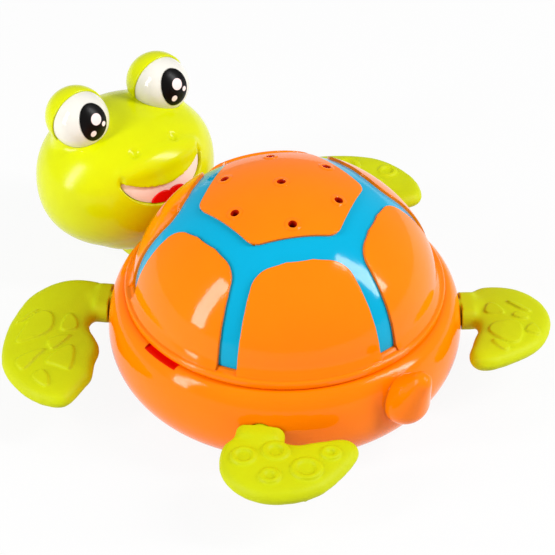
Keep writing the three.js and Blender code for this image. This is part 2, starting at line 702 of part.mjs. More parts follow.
function makeMouth() {
  const inside = solid(headForm(GAP, HEAD_BASE, HEAD_SIDES));
  const lining = mouthForm(-GAP, liningBack, liningFront).intersect(inside);
  const back = liningFront + GAP;
  const half = TONGUE_HALF_WIDTH;
  const high = lowerLip + TONGUE_HEIGHT;
  const lobe = high + TONGUE_LOBE;
  const tongue = new THREE.Shape();
  tongue.moveTo(0, lowerLip);
  tongue.lineTo(half, lowerLip);
  tongue.bezierCurveTo(half, high, half / 3, lobe, 0, high - TONGUE_LOBE);
  tongue.bezierCurveTo(-half / 3, lobe, -half, high, -half, lowerLip);
  const slab = solid(prism(tongue, -back - TONGUE_THICKNESS, -back).rotateX(Math.PI / 2));
  return [
    piece('mouth_lining', lining, 0xf6dcd2, 0.4),
    piece('tongue', slab.intersect(mouthForm(-GAP, back, REACH)), 0xd80000, 0.35),
  ];
}

// Flipper outlines, as shares of the flipper's length along the stem and of its rearward sweep.
const frontOutline = [
  [0.017, -0.123], [0.113, -0.168], [0.249, -0.188], [0.395, -0.188], [0.54, -0.161], [0.667, -0.114],
  [0.788, -0.04], [0.884, 0.053], [0.944, 0.174], [0.989, 0.307], [1, 0.439], [0.986, 0.553],
  [0.949, 0.667], [0.864, 0.768], [0.74, 0.86], [0.59, 0.937], [0.424, 0.986], [0.282, 1],
  [0.175, 0.988], [0.102, 0.933], [0.003, 0.789], [-0.04, 0.719], [-0.025, 0.588], [-0.045, 0.518],
  [-0.034, 0.442], [0.034, 0.361], [0.102, 0.298], [0.13, 0.235], [0.096, 0.172], [0.017, 0.126],
];
const rearOutline = [
  [0.019, -0.2], [0.123, -0.278], [0.225, -0.342], [0.345, -0.358], [0.472, -0.351], [0.596, -0.328],
  [0.705, -0.283], [0.814, -0.207], [0.899, -0.114], [0.963, -0.006], [0.997, 0.118], [1.002, 0.229],
  [0.983, 0.357], [0.936, 0.486], [0.864, 0.609], [0.755, 0.722], [0.618, 0.813], [0.462, 0.893],
  [0.303, 0.962], [0.174, 0.995], [0.069, 0.983], [0, 0.934], [-0.039, 0.851], [-0.028, 0.762],
  [0.007, 0.675], [0.036, 0.592], [0.066, 0.505], [0.11, 0.421], [0.124, 0.343], [0.098, 0.26],
  [0.019, 0.2],
];

// Raised wedges on one face, as the corners of each one in the same shares.
const frontPads = [
  [
    [0.825, 0.509], [0.805, 0.402], [0.743, 0.26], [0.644, 0.204], [0.542, 0.226], [0.5, 0.312],
    [0.528, 0.393], [0.638, 0.458],
  ],
  [
    [0.401, 0.354], [0.398, 0.256], [0.345, 0.204], [0.271, 0.249], [0.24, 0.305], [0.254, 0.34],
    [0.342, 0.37],
  ],
  [[0.497, 0.477], [0.39, 0.432], [0.282, 0.409], [0.316, 0.454], [0.424, 0.554], [0.472, 0.532]],
  [[0.771, 0.667], [0.655, 0.602], [0.514, 0.563], [0.562, 0.625], [0.669, 0.753], [0.74, 0.73]],
  [
    [0.46, 0.668], [0.35, 0.553], [0.28, 0.511], [0.223, 0.516], [0.195, 0.589], [0.195, 0.712],
    [0.257, 0.721], [0.37, 0.695],
  ],
  [
    [0.551, 0.819], [0.537, 0.772], [0.466, 0.758], [0.398, 0.809], [0.379, 0.881], [0.404, 0.889],
    [0.486, 0.861],
  ],
];
const rearPads = [
  [[0.239, 0.132], [0.294, 0.026], [0.376, 0.055], [0.45, 0.193], [0.376, 0.202], [0.256, 0.188]],
  [[0.517, 0.005], [0.587, 0.018], [0.756, 0.161], [0.719, 0.183], [0.625, 0.121]],
  [[0.547, 0.25], [0.614, 0.196], [0.711, 0.243], [0.709, 0.308], [0.617, 0.306]],
  [
    [0.239, 0.477], [0.322, 0.364], [0.492, 0.342], [0.605, 0.389],
    [0.624, 0.527], [0.552, 0.683], [0.434, 0.696], [0.325, 0.614],
  ],
  [[0.661, 0.505], [0.76, 0.391], [0.824, 0.537], [0.752, 0.564]],
  [[0.253, 0.658], [0.305, 0.649], [0.426, 0.748], [0.403, 0.813], [0.351, 0.814], [0.279, 0.723]],
];

// Raised rings on the other face: where each one is, and its radius as a share of the length.
const frontRings = [
  [0.367, 0.044, 0.138],
  [0.644, 0.149, 0.11],
  [0.395, 0.351, 0.153],
  [0.706, 0.465, 0.164],
  [0.395, 0.632, 0.136],
  [0.607, 0.754, 0.116],
];
const rearRings = [
  [0.449, -0.109, 0.151],
  [0.325, 0.193, 0.164],
  [0.717, 0.181, 0.127],
  [0.56, 0.519, 0.185],
  [0.274, 0.727, 0.117],
];

// The raised patterns of a flipper: wedges on one face and rings on the other.
function finRelief({ front, upper, side }) {
  const length = front ? FRONT_FIN_LENGTH : REAR_FIN_LENGTH;
  const sweep = side * (front ? FRONT_FIN_SWEEP : REAR_FIN_SWEEP);
  const depth = 2 * RELIEF_HEIGHT;
  const middle = FIN_THICKNESS / 2;
  const padFace = upper === 'pads' ? middle : -middle;
  const pads = (front ? frontPads : rearPads).map((corners) => {
    const outline = corners.map(([along, across]) =>
      new THREE.Vector2(finRoot + along * length, across * sweep));
    return solid(prism(new THREE.Shape(outline), padFace - depth / 2, padFace + depth / 2));
  });
  const rings = (front ? frontRings : rearRings).map(([along, across, share]) => {
    const radius = share * length;
    const hole = solid(post(radius * RING_BORE, -depth, depth, RING_SIDES));
    const ring = solid(post(radius, -depth / 2, depth / 2, RING_SIDES)).subtract(hole);
    return ring.translate([finRoot + along * length, across * sweep, -padFace]);
  });
  return [...pads, ...rings];
}

// The flat paddle with rounded edges.
function finBlade({ front, side }) {
  const length = front ? FRONT_FIN_LENGTH : REAR_FIN_LENGTH;
  const sweep = front ? FRONT_FIN_SWEEP : REAR_FIN_SWEEP;
  const points = (front ? frontOutline : rearOutline).map(([along, across]) =>
    new THREE.Vector3(finRoot + along * length, side * across * sweep, 0));
  const curve = new THREE.CatmullRomCurve3(points, true, 'centripetal');
  const outline = curve.getSpacedPoints(FIN_STEPS).slice(1).map(({ x, y }) => new THREE.Vector2(x, y));
  return new THREE.ExtrudeGeometry(new THREE.Shape(outline), {
    depth: FIN_THICKNESS - 2 * FIN_ROUND,
    bevelThickness: FIN_ROUND,
    bevelSize: FIN_ROUND,
    bevelOffset: -FIN_ROUND,
    bevelSegments: 2,
  }).translate(0, 0, FIN_ROUND - FIN_THICKNESS / 2);
}

function makeFin(fin) {
  const stem = turned([
    [0, bushBack],
    [SHAFT_RADIUS, bushBack],
    [SHAFT_RADIUS, finRoot],
    [STEM_RADIUS, finRoot],
    [STEM_RADIUS, finRoot + STEM_LENGTH],
    [STEM_SHOULDER, finRoot + STEM_LENGTH + STEM_TAPER / 2],
    [0, finRoot + STEM_LENGTH + STEM_TAPER],
  ], BAR_SIDES).rotateY(Math.PI / 2);
  let shape = solid(finBlade(fin)).add(solid(stem));
  for (const raised of finRelief(fin)) {
    shape = shape.add(raised);
  }
  const bore = rod(PLUG_STUB_RADIUS + GAP, 0, bushBack + PLUG_STUB_LENGTH + GAP, SCREW_SIDES);
  return piece(`fin_${fin.name}`, shape.subtract(solid(bore)), 0xc8d800, 0.6);
}

function makeFinPlug(fin) {
  const face = bushBack - GAP;
  const plug = turned([
    [0, face - PLUG_THICKNESS],
    [PLUG_RADIUS, face - PLUG_THICKNESS],
    [PLUG_RADIUS, face],
    [PLUG_STUB_RADIUS, face],
    [PLUG_STUB_RADIUS, bushBack + PLUG_STUB_LENGTH],
    [0, bushBack + PLUG_STUB_LENGTH],
  ], BAR_SIDES).rotateY(Math.PI / 2);
  return piece(`fin_plug_${fin.name}`, solid(plug), 0xf2f2ee, 0.4);
}

const turtle = new THREE.Group();
turtle.add(makeHull(), makeTray(), ...makeHullScrews());
turtle.add(makeShellDome(), makeShellWeb());
turtle.add(makeNeckArm(), ...makeArmScrews());

const neck = new THREE.Group();
neck.position.set(0, -neckDistance, 0);
neck.add(makeNeckKnob(), makeNeckScrew());
turtle.add(neck);

const head = new THREE.Group();
head.rotation.z = -radians(HEAD_YAW);
head.add(makeHead(), ...makeEye(1, 'left'), ...makeEye(-1, 'right'), ...makeMouth());
neck.add(head);

for (const fin of fins) {
  const stem = new THREE.Group();
  stem.position.set(0, 0, stemHeight);
  stem.rotation.set(radians(fin.side * fin.tilt), 0, radians(fin.turn + BODY_TURN), 'ZYX');
  stem.add(makeFin(fin), makeFinPlug(fin));
  turtle.add(stem);
}

export default turtle;
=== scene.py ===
import json
import math

import bmesh
import bpy
from mathutils import Matrix, Vector
from mathutils.bvhtree import BVHTree

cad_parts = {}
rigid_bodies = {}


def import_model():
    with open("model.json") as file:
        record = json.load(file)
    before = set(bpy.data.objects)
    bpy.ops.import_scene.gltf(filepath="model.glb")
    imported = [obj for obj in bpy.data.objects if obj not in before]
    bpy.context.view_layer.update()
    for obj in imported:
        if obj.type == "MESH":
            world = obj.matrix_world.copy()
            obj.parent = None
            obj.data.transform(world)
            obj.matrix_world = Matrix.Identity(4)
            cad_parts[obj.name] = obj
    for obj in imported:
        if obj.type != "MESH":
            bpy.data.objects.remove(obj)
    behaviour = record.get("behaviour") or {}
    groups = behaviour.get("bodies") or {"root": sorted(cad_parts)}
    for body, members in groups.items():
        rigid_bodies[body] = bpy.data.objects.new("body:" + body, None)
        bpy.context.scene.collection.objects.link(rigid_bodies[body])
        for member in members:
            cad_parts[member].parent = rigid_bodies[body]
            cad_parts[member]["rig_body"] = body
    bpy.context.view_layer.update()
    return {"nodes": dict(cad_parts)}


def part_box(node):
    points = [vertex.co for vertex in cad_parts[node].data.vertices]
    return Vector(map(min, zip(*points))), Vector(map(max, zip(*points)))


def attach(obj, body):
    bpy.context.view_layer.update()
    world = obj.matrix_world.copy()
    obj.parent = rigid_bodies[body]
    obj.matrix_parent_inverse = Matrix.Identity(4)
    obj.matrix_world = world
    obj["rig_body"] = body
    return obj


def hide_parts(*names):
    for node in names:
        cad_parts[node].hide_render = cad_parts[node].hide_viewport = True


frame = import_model()


# Hull: the lower body, injection moulded in gloss orange ABS as a round bowl on a flat foot ring. The
# upturned tail, the four flipper bushes and the screw pillars are moulded in one with it, and a shallow
# pocket in its rim, under the shell's lip, is the finger notch. Sizes are in millimetres.
MM = 1000.0
RIM_RADIUS = 60.0
RIM_HEIGHT = 38.0
RIM_INNER = 56.0
RIM_ROUND = 0.8
RIM_UNDERSIDE = 29.0
CHAMBER_RADIUS = 58.0
BULGE_RADIUS = 66.8
BULGE_HEIGHT = 21.0
FOOT_RADIUS = 46.0
FOOT_RING = [(0, 0.6), (37.0, 0.6), (37.8, 0.1), (38.4, 0)]
HULL_WALL = 2.2
HULL_FLOOR = 2.6
STEM_HEIGHT = 23.0
BUSH_RADIUS = 7.5
BUSH_ROOT = 56.0
BUSH_FACE = BULGE_RADIUS - 1.6
BUSH_ROUND = 0.5
BORE_RADIUS = 4.8
BORE_ENDS = (50.0, 70.0)
NOTCH_WIDTH = 16.4
NOTCH_FLOOR = 37.2
NOTCH_BACK = 58.4
NOTCH_FRONT = 72.0
ARM_SLOT = ((-7.8, -72.0, HULL_FLOOR), (7.8, -35.5, 13.5))
PILLAR_RADIUS = 5.0
PILLAR_ENDS = (2.0, 20.0)
WELL_RADIUS = 3.1
WELL_FLARE = 0.4
WELL_LEAD = 0.9
SEAT_LIFT = 1.5
BODY_TURN = 2.0
FLIPPER_TURNS = {"front_left": -47.0, "front_right": 231.0, "rear_left": 42.0, "rear_right": 142.0}
TAIL_BASE = 9.3
TAIL_TIP = 3.9
TAIL_LENGTH = 15.2
TAIL_RISE = 59.5
TAIL_PLACE = (0, BULGE_RADIUS - 0.4, BULGE_HEIGHT + 5.0)


class Recipe:
    """One value in a material's recipe of nodes; sums on it add Math nodes."""

    def __init__(self, tree, socket=None):
        self.tree = tree
        self.socket = socket

    def step(self, kind, settings=None, sockets=None, output=0):
        """Adds a node of a kind, with its settings and with a number or a link for each socket."""
        node = self.tree.nodes.new(kind)
        for name, value in (settings or {}).items():
            setattr(node, name, value)
        for name, value in (sockets or {}).items():
            if isinstance(value, Recipe):
                self.tree.links.new(value.socket, node.inputs[name])
            else:
                node.inputs[name].default_value = value
        return Recipe(self.tree, node.outputs[output] if node.outputs else None)

    def output(self, name):
        """Another output of the node that this value comes from."""
        return Recipe(self.tree, self.socket.node.outputs[name])

    def total(self, operation, left, right):
        return self.step("ShaderNodeMath", {"operation": operation}, {0: left, 1: right})

    def __add__(self, other):
        return self.total("ADD", self, other)

    def __sub__(self, other):
        return self.total("SUBTRACT", self, other)

    def __rsub__(self, other):
        return self.total("SUBTRACT", other, self)

    def __mul__(self, other):
        return self.total("MULTIPLY", self, other)

    def __gt__(self, other):
        return self.total("GREATER_THAN", self, other)

    def __lt__(self, other):
        return self.total("LESS_THAN", self, other)

    __radd__ = __add__
    __rmul__ = __mul__

    def between(self, low, high):
        return self.step("ShaderNodeMix", {"data_type": "RGBA"}, {0: self, 6: low, 7: high}, 2)

    def grain(self, size, detail, roughness=0.5):
        """Noise over these coordinates, with features of about the given size in millimetres."""
        scale = {"Vector": self, "Scale": MM / size, "Detail": detail, "Roughness": roughness}
        return self.step("ShaderNodeTexNoise", {}, scale, "Fac")


def colour(red, green, blue):
    """A colour as it is read off a screen, from 0 to 255, as the shader's own light values."""
    shares = (red / 255, green / 255, blue / 255)
    light = [((v + 0.055) / 1.055) ** 2.4 if v > 10 / 255 else v / 12.92 for v in shares]
    return (*light, 1.0)


def new_finish(name):
    """An empty material and the coordinates of the piece that it is on."""
    material = bpy.data.materials.new(name)
    material.use_nodes = True
    material.node_tree.nodes.clear()
    return material, Recipe(material.node_tree).step("ShaderNodeTexCoord", output="Object")


def coated(place, tone, roughness, normal, **constant):
    """Closes a recipe with the plastic's own surface."""
    sockets = {"Base Color": tone, "Roughness": roughness, "Normal": normal}
    sockets.update({name.replace("_", " "): value for name, value in constant.items()})
    surface = place.step("ShaderNodeBsdfPrincipled", {}, sockets)
    place.step("ShaderNodeOutputMaterial", {}, {"Surface": surface})


def gloss_finish(name, tone, deep, edge=0.0006):
    """Gloss ABS: a drift of tone from the mould's flow, handling marks, orange peel and soft edges."""
    material, place = new_finish(name)
    flow = place.grain(38, 3.0)
    marks = place.grain(7, 4.0, 0.6)
    peel = place.grain(1.6, 1.0)
    speck = place.grain(0.45, 2.0)
    shade = (flow * 0.55 + marks * 0.2 + speck * 0.12 - 0.3).between(tone, deep)
    softened = place.step("ShaderNodeBevel", {"samples": 4}, {"Radius": edge})
    skin = {"Height": peel + marks * 0.4, "Strength": 0.05, "Distance": 0.0004, "Normal": softened}
    return material, place, shade, 0.04 + marks * 0.1, place.step("ShaderNodeBump", {}, skin)


def turned(profile, steps):
    """A form of revolution about Z, from points of (radius, height)."""
    form = bmesh.new()
    verts = [form.verts.new((radius, 0, height)) for radius, height in profile]
    edges = [form.edges.new(pair) for pair in zip(verts, verts[1:])]
    spin = {"cent": (0, 0, 0), "axis": (0, 0, 1), "angle": math.tau, "steps": steps, "use_merge": True}
    bmesh.ops.spin(form, geom=verts + edges, **spin)
    bmesh.ops.remove_doubles(form, verts=form.verts, dist=0.0005)
    bmesh.ops.recalc_face_normals(form, faces=form.faces)
    return form


def arc(centre, radii, start, end, count):
    """Points on part of an oval, between two angles in degrees."""
    points = []
    for step in range(count + 1):
        turn = math.radians(start + (end - start) * step / count)
        points.append((centre[0] + radii[0] * math.cos(turn), centre[1] + radii[1] * math.sin(turn)))
    return points


def moved(form, *moves):
    """The same form after one or more moves."""
    for move in moves:
        bmesh.ops.transform(form, matrix=move, verts=form.verts)
    return form


def turn_about(axis, degrees):
    return Matrix.Rotation(math.radians(degrees), 4, axis)


def shift(x, y, z):
    return Matrix.Translation((x, y, z))


def block(low, high):
    """A box between two corners."""
    form = bmesh.new()
    bmesh.ops.create_cube(form, size=1.0)
    spans = [top - bottom for bottom, top in zip(low, high)]
    middle = [(top + bottom) / 2 for bottom, top in zip(low, high)]
    bmesh.ops.scale(form, vec=spans, verts=form.verts)
    bmesh.ops.translate(form, vec=middle, verts=form.verts)
    return form


def rod(radius, low, high, steps):
    """A round rod about Z between two heights."""
    return turned([(0, low), (radius, low), (radius, high), (0, high)], steps)


def gathered(forms):
    """Several forms as one mesh."""
    whole = bmesh.new()
    for form in forms:
        mesh = bpy.data.meshes.new("form")
        form.to_mesh(mesh)
        whole.from_mesh(mesh)
        bpy.data.meshes.remove(mesh)
        form.free()
    return whole


def on_bench(form):
    """A form as an object to work on for a while."""
    mesh = bpy.data.meshes.new("bench")
    form.to_mesh(mesh)
    form.free()
    bench = bpy.data.objects.new("bench", mesh)
    bpy.context.scene.collection.objects.link(bench)
    return bench


def worked(form, *steps):
    """The form after Blender's modifiers, each given as its kind and its settings."""
    bench = on_bench(form)
    for kind, settings in steps:
        modifier = bench.modifiers.new(kind.lower(), kind)
        for name, value in settings.items():
            setattr(modifier, name, value)
    bpy.context.view_layer.update()
    done = bmesh.new()
    done.from_object(bench, bpy.context.evaluated_depsgraph_get())
    bpy.data.meshes.remove(bench.data)
    return done


def joined(form, tools, operation="UNION"):
    """The form with others welded on, cut out of it, or kept only where they meet."""
    tool = on_bench(gathered(tools))
    done = worked(form, ("BOOLEAN", {"operation": operation, "object": tool, "solver": "MANIFOLD"}))
    bpy.data.meshes.remove(tool.data)
    return done


def finished(name, form, material, body, slot, *nodes, crease=38):
    """The form as a piece in metres, which rides on a body and stands for the nodes of the CAD."""
    bmesh.ops.scale(form, vec=(1 / MM,) * 3, verts=form.verts)
    mesh = bpy.data.meshes.new(name)
    form.to_mesh(mesh)
    form.free()
    mesh.materials.append(material)
    mesh.shade_smooth()
    mesh.set_sharp_from_angle(angle=math.radians(crease))
    piece = bpy.data.objects.new(name, mesh)
    bpy.context.scene.collection.objects.link(piece)
    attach(piece, body)
    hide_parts(*nodes)


ORANGE = colour(255, 128, 0)
DEEP_ORANGE = colour(252, 108, 0)
SHADE_RED = colour(236, 8, 0)
ABS_SPECULAR = 0.16

foot_turn = (FOOT_RADIUS, BULGE_HEIGHT)
shoulder = (BULGE_RADIUS - RIM_RADIUS, RIM_HEIGHT - BULGE_HEIGHT)
inside = (BULGE_RADIUS - HULL_WALL - FOOT_RADIUS, BULGE_HEIGHT - HULL_FLOOR)
hull_skin = FOOT_RING + arc(foot_turn, (BULGE_RADIUS - FOOT_RADIUS, BULGE_HEIGHT), -90, 0, 30)
hull_skin += arc((RIM_RADIUS, BULGE_HEIGHT), shoulder, 3, 90, 26)
hull_skin += arc((RIM_INNER + RIM_ROUND, RIM_HEIGHT - RIM_ROUND), (RIM_ROUND, RIM_ROUND), 90, 180, 4)
hull_skin += [(RIM_INNER, RIM_UNDERSIDE), (CHAMBER_RADIUS, RIM_UNDERSIDE)]
hull_skin += arc(foot_turn, inside, 20, -90, 16) + [(0, HULL_FLOOR)]
taper = math.degrees(math.asin((TAIL_BASE - TAIL_TIP) / TAIL_LENGTH))
teardrop = arc((0, 0), (TAIL_BASE, TAIL_BASE), -90, taper, 24)
teardrop += arc((0, TAIL_LENGTH), (TAIL_TIP, TAIL_TIP), taper, 90, 12)
tail = moved(turned(teardrop, 64), turn_about("X", TAIL_RISE - 90), shift(*TAIL_PLACE))
bushes, bores = [], []
for turn in FLIPPER_TURNS.values():
    lay = (turn_about("Y", 90), turn_about("Z", turn), shift(0, 0, STEM_HEIGHT))
    bush = [(0, BUSH_ROOT), (BUSH_RADIUS, BUSH_ROOT)]
    bush += arc((BUSH_RADIUS - BUSH_ROUND, BUSH_FACE - BUSH_ROUND), (BUSH_ROUND, BUSH_ROUND), 0, 90, 4)
    bushes.append(moved(turned(bush + [(0, BUSH_FACE)], 64), *lay))
    bores.append(moved(rod(BORE_RADIUS, *BORE_ENDS, 48), *lay))
screw_places = []
for node in sorted(frame["nodes"]):
    if "screw" in node:
        low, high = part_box(node)
        x, y = (low.x + high.x) / 2 * MM, (low.y + high.y) / 2 * MM
        screw_places.append((node, x, y, low.z * MM, high.z * MM))
pillars, wells = [], []
for node, x, y, base, tip in screw_places:
    if node.startswith("hull_screw"):
        pillars.append(moved(rod(PILLAR_RADIUS, *PILLAR_ENDS, 32), shift(x, y, 0)))
    if not node.startswith("neck_screw"):
        seat = base + SEAT_LIFT
        well = [(0, -1), (WELL_RADIUS + WELL_FLARE, -1), (WELL_RADIUS, WELL_LEAD)]
        well += [(WELL_RADIUS, seat), (0, seat)]
        wells.append(moved(turned(well, 32), shift(x, y, 0)))
half_notch = NOTCH_WIDTH / 2
notch = block((NOTCH_BACK, -half_notch, NOTCH_FLOOR), (NOTCH_FRONT, half_notch, RIM_HEIGHT + 1))
moved(notch, turn_about("Z", BODY_TURN))
hull = joined(turned(hull_skin, 160), [tail, *bushes])
hull = joined(hull, pillars)
hull = joined(hull, [notch, block(*ARM_SLOT), *bores, *wells], "DIFFERENCE")

# The notch is in deep shade, so its walls, and a hair more, are coloured dark red.
hull_finish, place, tone, roughness, skin = gloss_finish(
    "orange_hull_abs", ORANGE, DEEP_ORANGE, edge=0.0011
)
unturned = {"Vector": place, "Rotation": (0, 0, -math.radians(BODY_TURN))}
axes = place.step("ShaderNodeSeparateXYZ", {}, {0: place.step("ShaderNodeMapping", {}, unturned)})
along, across, upward = (axes.output(axis) for axis in "XYZ")
reach = across.step("ShaderNodeMath", {"operation": "ABSOLUTE"}, {0: across})
in_notch = (along > (NOTCH_BACK - 0.2) / MM) * (reach < (half_notch + 0.06) / MM)
in_notch = in_notch * (upward > (NOTCH_FLOOR - 0.08) / MM)
coated(
    place, in_notch.between(tone, SHADE_RED), roughness, skin,
    Coat_Weight=0.05, Coat_Roughness=0.04, Specular_IOR_Level=ABS_SPECULAR,
)
finished("hull_moulding", hull, hull_finish, "base", "hull", "hull")


# Screws: plated steel pan heads with a cross recess, driven from below. Four hold the tray to the
# hull's pillars, two hold the neck arm and one holds the knob that the head turns on.
PAN_RADIUS = 2.8
PAN_HEIGHT = 1.4
PAN_ROUND = 0.9
PAN_LIFT = 0.02
SHANK_RADIUS = 1.5
POINT_RADIUS = 0.7
POINT_LENGTH = 0.8
CROSS_REACH = 1.7
CROSS_HALF = 0.35
CROSS_DEPTH = 0.8

steel_finish, place = new_finish("plated_steel")
turning = place.step("ShaderNodeMapping", {}, {"Vector": place, "Scale": (1, 1, 14)}).grain(0.6, 4.0)
tarnish = place.grain(2.2, 3.0)
sheen = (tarnish * 0.6).between((0.72, 0.73, 0.75, 1), (0.5, 0.5, 0.5, 1))
lathe_lines = {"Height": turning, "Strength": 0.15, "Distance": 0.0002}
skin = place.step("ShaderNodeBump", {}, lathe_lines)
coated(place, sheen, 0.2 + turning * 0.2, skin, Metallic=1.0)
for node, x, y, base, tip in screw_places:
    length = tip - base
    screw = [(0, PAN_LIFT)]
    screw += arc((PAN_RADIUS - PAN_ROUND, PAN_ROUND), (PAN_ROUND, PAN_ROUND - PAN_LIFT), -90, 0, 6)
    screw += [(PAN_RADIUS, PAN_HEIGHT), (SHANK_RADIUS, PAN_HEIGHT)]
    screw += [(SHANK_RADIUS, length - POINT_LENGTH), (POINT_RADIUS, length), (0, length)]
    screw = turned(screw, 40)
    for run, half in ((CROSS_REACH, CROSS_HALF), (CROSS_HALF, CROSS_REACH)):
        screw = joined(screw, [block((-run, -half, -1), (run, half, CROSS_DEPTH))], "DIFFERENCE")
    moved(screw, shift(x, y, base))
    body = frame["nodes"][node]["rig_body"]
    finished(node + "_steel", screw, steel_finish, body, "screws", node)


# Inner tray: the shallow bowl under the shell that closes the hull's air chamber. It is moulded in the
# same orange ABS, drops inside the hull's rim, and is pulled down by the four screws.
TRAY_TOP = 34.2
TRAY_FLOOR = 25.2
TRAY_RADIUS = 55.7
TRAY_ROUND = 0.7
TRAY_BELOW = [(52.5, RIM_UNDERSIDE), (40.5, 24.4), (36.0, 23.2), (0, 23.2)]
BOWL_FLAT = 30.0
BOWL_TURN = 33.0
BOWL_SWEEP = 9.0
BRIM_TURN = 51.4
BRIM_ROUND = 2.3

bowl = [(0, TRAY_FLOOR), (BOWL_FLAT, TRAY_FLOOR)]
bowl += arc((BOWL_TURN, TRAY_FLOOR + BOWL_SWEEP), (BOWL_SWEEP, BOWL_SWEEP), -90, -42, 8)
bowl += arc((BRIM_TURN, TRAY_TOP - BRIM_ROUND), (BRIM_ROUND, BRIM_ROUND), 130, 90, 6)
bowl += arc((TRAY_RADIUS - TRAY_ROUND, TRAY_TOP - TRAY_ROUND), (TRAY_ROUND, TRAY_ROUND), 90, 0, 4)
bowl += [(TRAY_RADIUS, RIM_UNDERSIDE)] + TRAY_BELOW
tray_finish, place, tone, roughness, skin = gloss_finish("orange_tray_abs", ORANGE, DEEP_ORANGE)
coated(
    place, tone, roughness + 0.06, skin,
    Coat_Weight=0.05, Coat_Roughness=0.06, Specular_IOR_Level=ABS_SPECULAR,
)
finished("tray_bowl", turned(bowl, 128), tray_finish, "base", "tray", "inner_tray")


# Shell: the sprinkler dome, moulded in gloss orange ABS with seven raised scutes that flare into a base
# lip to lift it by, and seven spray holes with low raised rims. It sits loose on the hull, with a skirt
# inside the rim, and doubles as a water cup.
SHELL_RADIUS = 57.2
SHELL_RISE = 46.7
LIP_TOP = 41.4
LIP_UNDERSIDE = 38.5
LIP_ROUND = 1.1
LIP_FILLET = 0.8
FILLET_CENTRE = 57.9
LIP_STEP = ((56.6, 0.8), (55.2, 0.7), (54.8, 0.6))
SKIRT_RADIUS = 55.7
SKIRT_BOTTOM = 34.5
SKIRT_ROUND = 0.5
HOLLOW_RADIUS = 53.7
HOLLOW_RISE = 43.6
CHANNEL_DEPTH = 2.2
CHANNEL_START = 5.6
SCUTE_RADIUS = 31.0
SCUTE_SHIFT = 2.1
SCUTE_FOOT = SHELL_RADIUS * 0.9996
SCUTE_ROUND = 0.9
SCUTE_DEPTH = 2.6
SCUTE_GRID = 2.4
TOP_CORNER = 3.4
SIDE_CORNER = 6.2
SIDE_POINTS = (0, 0.42, 0.66, 0.84, 0.94, 0.985, 1.0)
WEB_WIDTH = 8.5
LEG_WIDTH = 7.5
FLARE = 1.7
FLARE_HEIGHT = 3.2
CLIMB_SCALE = 52.0
SPRAY_CIRCLE = 21.9
SPRAY_RADIUS = 1.2
SPRAY_DEPTH = 9.0
SPRAY_RIM = 0.28
SPRAY_RIM_RADIUS = 2.9
SPRAY_RIM_ROOT = 1.2
# Painted shade: the dark red that the insides of the spray holes are coloured with.
BORE_PAINTED_SHADE = colour(176, 24, 0)


def dome_skin(sink, start, count):
    """The dome's curve from a climb angle in degrees to the top, sunk below the scutes."""
    return arc((0, RIM_HEIGHT), (SHELL_RADIUS - sink, SHELL_RISE - sink), start, 90, count)


def gridded(form, spacing):
    """Cuts a flat form along a grid, so that it can be bent."""
    for axis in (0, 1):
        low, high = min(v.co[axis] for v in form.verts), max(v.co[axis] for v in form.verts)
        for step in range(1, math.ceil((high - low) / spacing)):
            cut = Vector((0, 0, 0))
            cut[axis] = low + step * spacing
            normal = Vector((axis == 0, axis == 1, 0))
            geom = form.verts[:] + form.edges[:] + form.faces[:]
            bmesh.ops.bisect_plane(form, geom=geom, dist=1e-5, plane_co=cut, plane_no=normal)


def drawn_out(form, faces):
    """Extrudes faces in place and gives their new vertices, which are then moved."""
    drawn = bmesh.ops.extrude_face_region(form, geom=faces, use_keep_orig=True)["geom"]
    return [v for v in drawn if isinstance(v, bmesh.types.BMVert)]


def slabbed(outline, corner_rounds, grid, depth, edge_round):
    """A flat slab with rounded corners and a soft upper edge, cut into a grid to be bent."""
    slab = bmesh.new()
    verts = [slab.verts.new((x, y, 0)) for x, y in outline]
    face = slab.faces.new(verts)
    face.normal_update()
    if face.normal.z < 0:
        face.normal_flip()
    for radius, corners in corner_rounds:
        bmesh.ops.bevel(
            slab, geom=[verts[corner] for corner in corners], offset=radius,
            affect="VERTICES", segments=8, profile=0.5, material=-1,
        )
    rim = arc((edge_round, 0), (edge_round, edge_round), 180, 90, 4)
    for (x0, z0), (x1, z1) in zip(rim, rim[1:]):
        top = max(slab.faces, key=lambda f: f.calc_area())
        inset = {"thickness": x1 - x0, "depth": z1 - z0, "use_even_offset": True}
        bmesh.ops.inset_region(slab, faces=[top], **inset)
    bmesh.ops.translate(slab, vec=(0, 0, -edge_round), verts=slab.verts)
    gridded(slab, grid)
    under = drawn_out(slab, slab.faces[:])
    bmesh.ops.scale(slab, vec=(1, 1, 0), verts=under)
    bmesh.ops.translate(slab, vec=(0, 0, -depth), verts=under)
    bmesh.ops.triangulate(slab, faces=slab.faces[:])
    return slab


def bent(slab, place_on):
    """A slab bent on to a curved surface, by a rule from its flat place and its sink to a point."""
    for vert in slab.verts:
        vert.co = place_on(vert.co.x, vert.co.y, -vert.co.z)
    bmesh.ops.recalc_face_normals(slab, faces=slab.faces)
    return slab


def on_top(x, y, sink):
    """The rule for the top scute, which is laid on the dome from straight above."""
    share = 1 - sink / SHELL_RADIUS
    lift = math.sqrt(max(0.0, 1 - (x * x + y * y) / SHELL_RADIUS**2))
    return Vector((x * share, y * share, RIM_HEIGHT + (SHELL_RISE - sink) * lift))


def on_side(middle):
    """The rule for a side scute: flat x runs round the dome, and flat y climbs it from a flared foot."""

    def rule(x, y, sink):
        climb = y / CLIMB_SCALE
        turn = middle + x / (SHELL_RADIUS * math.cos(climb))
        radius = (SHELL_RADIUS - sink) * math.cos(climb)
        rise = RIM_HEIGHT + (SHELL_RISE - sink) * math.sin(climb)
        nearness = min(1.0, max(0.0, 1 - (rise - LIP_TOP) / FLARE_HEIGHT))
        radius += FLARE * nearness * nearness
        return Vector((radius * math.cos(turn), radius * math.sin(turn), rise))

    return rule


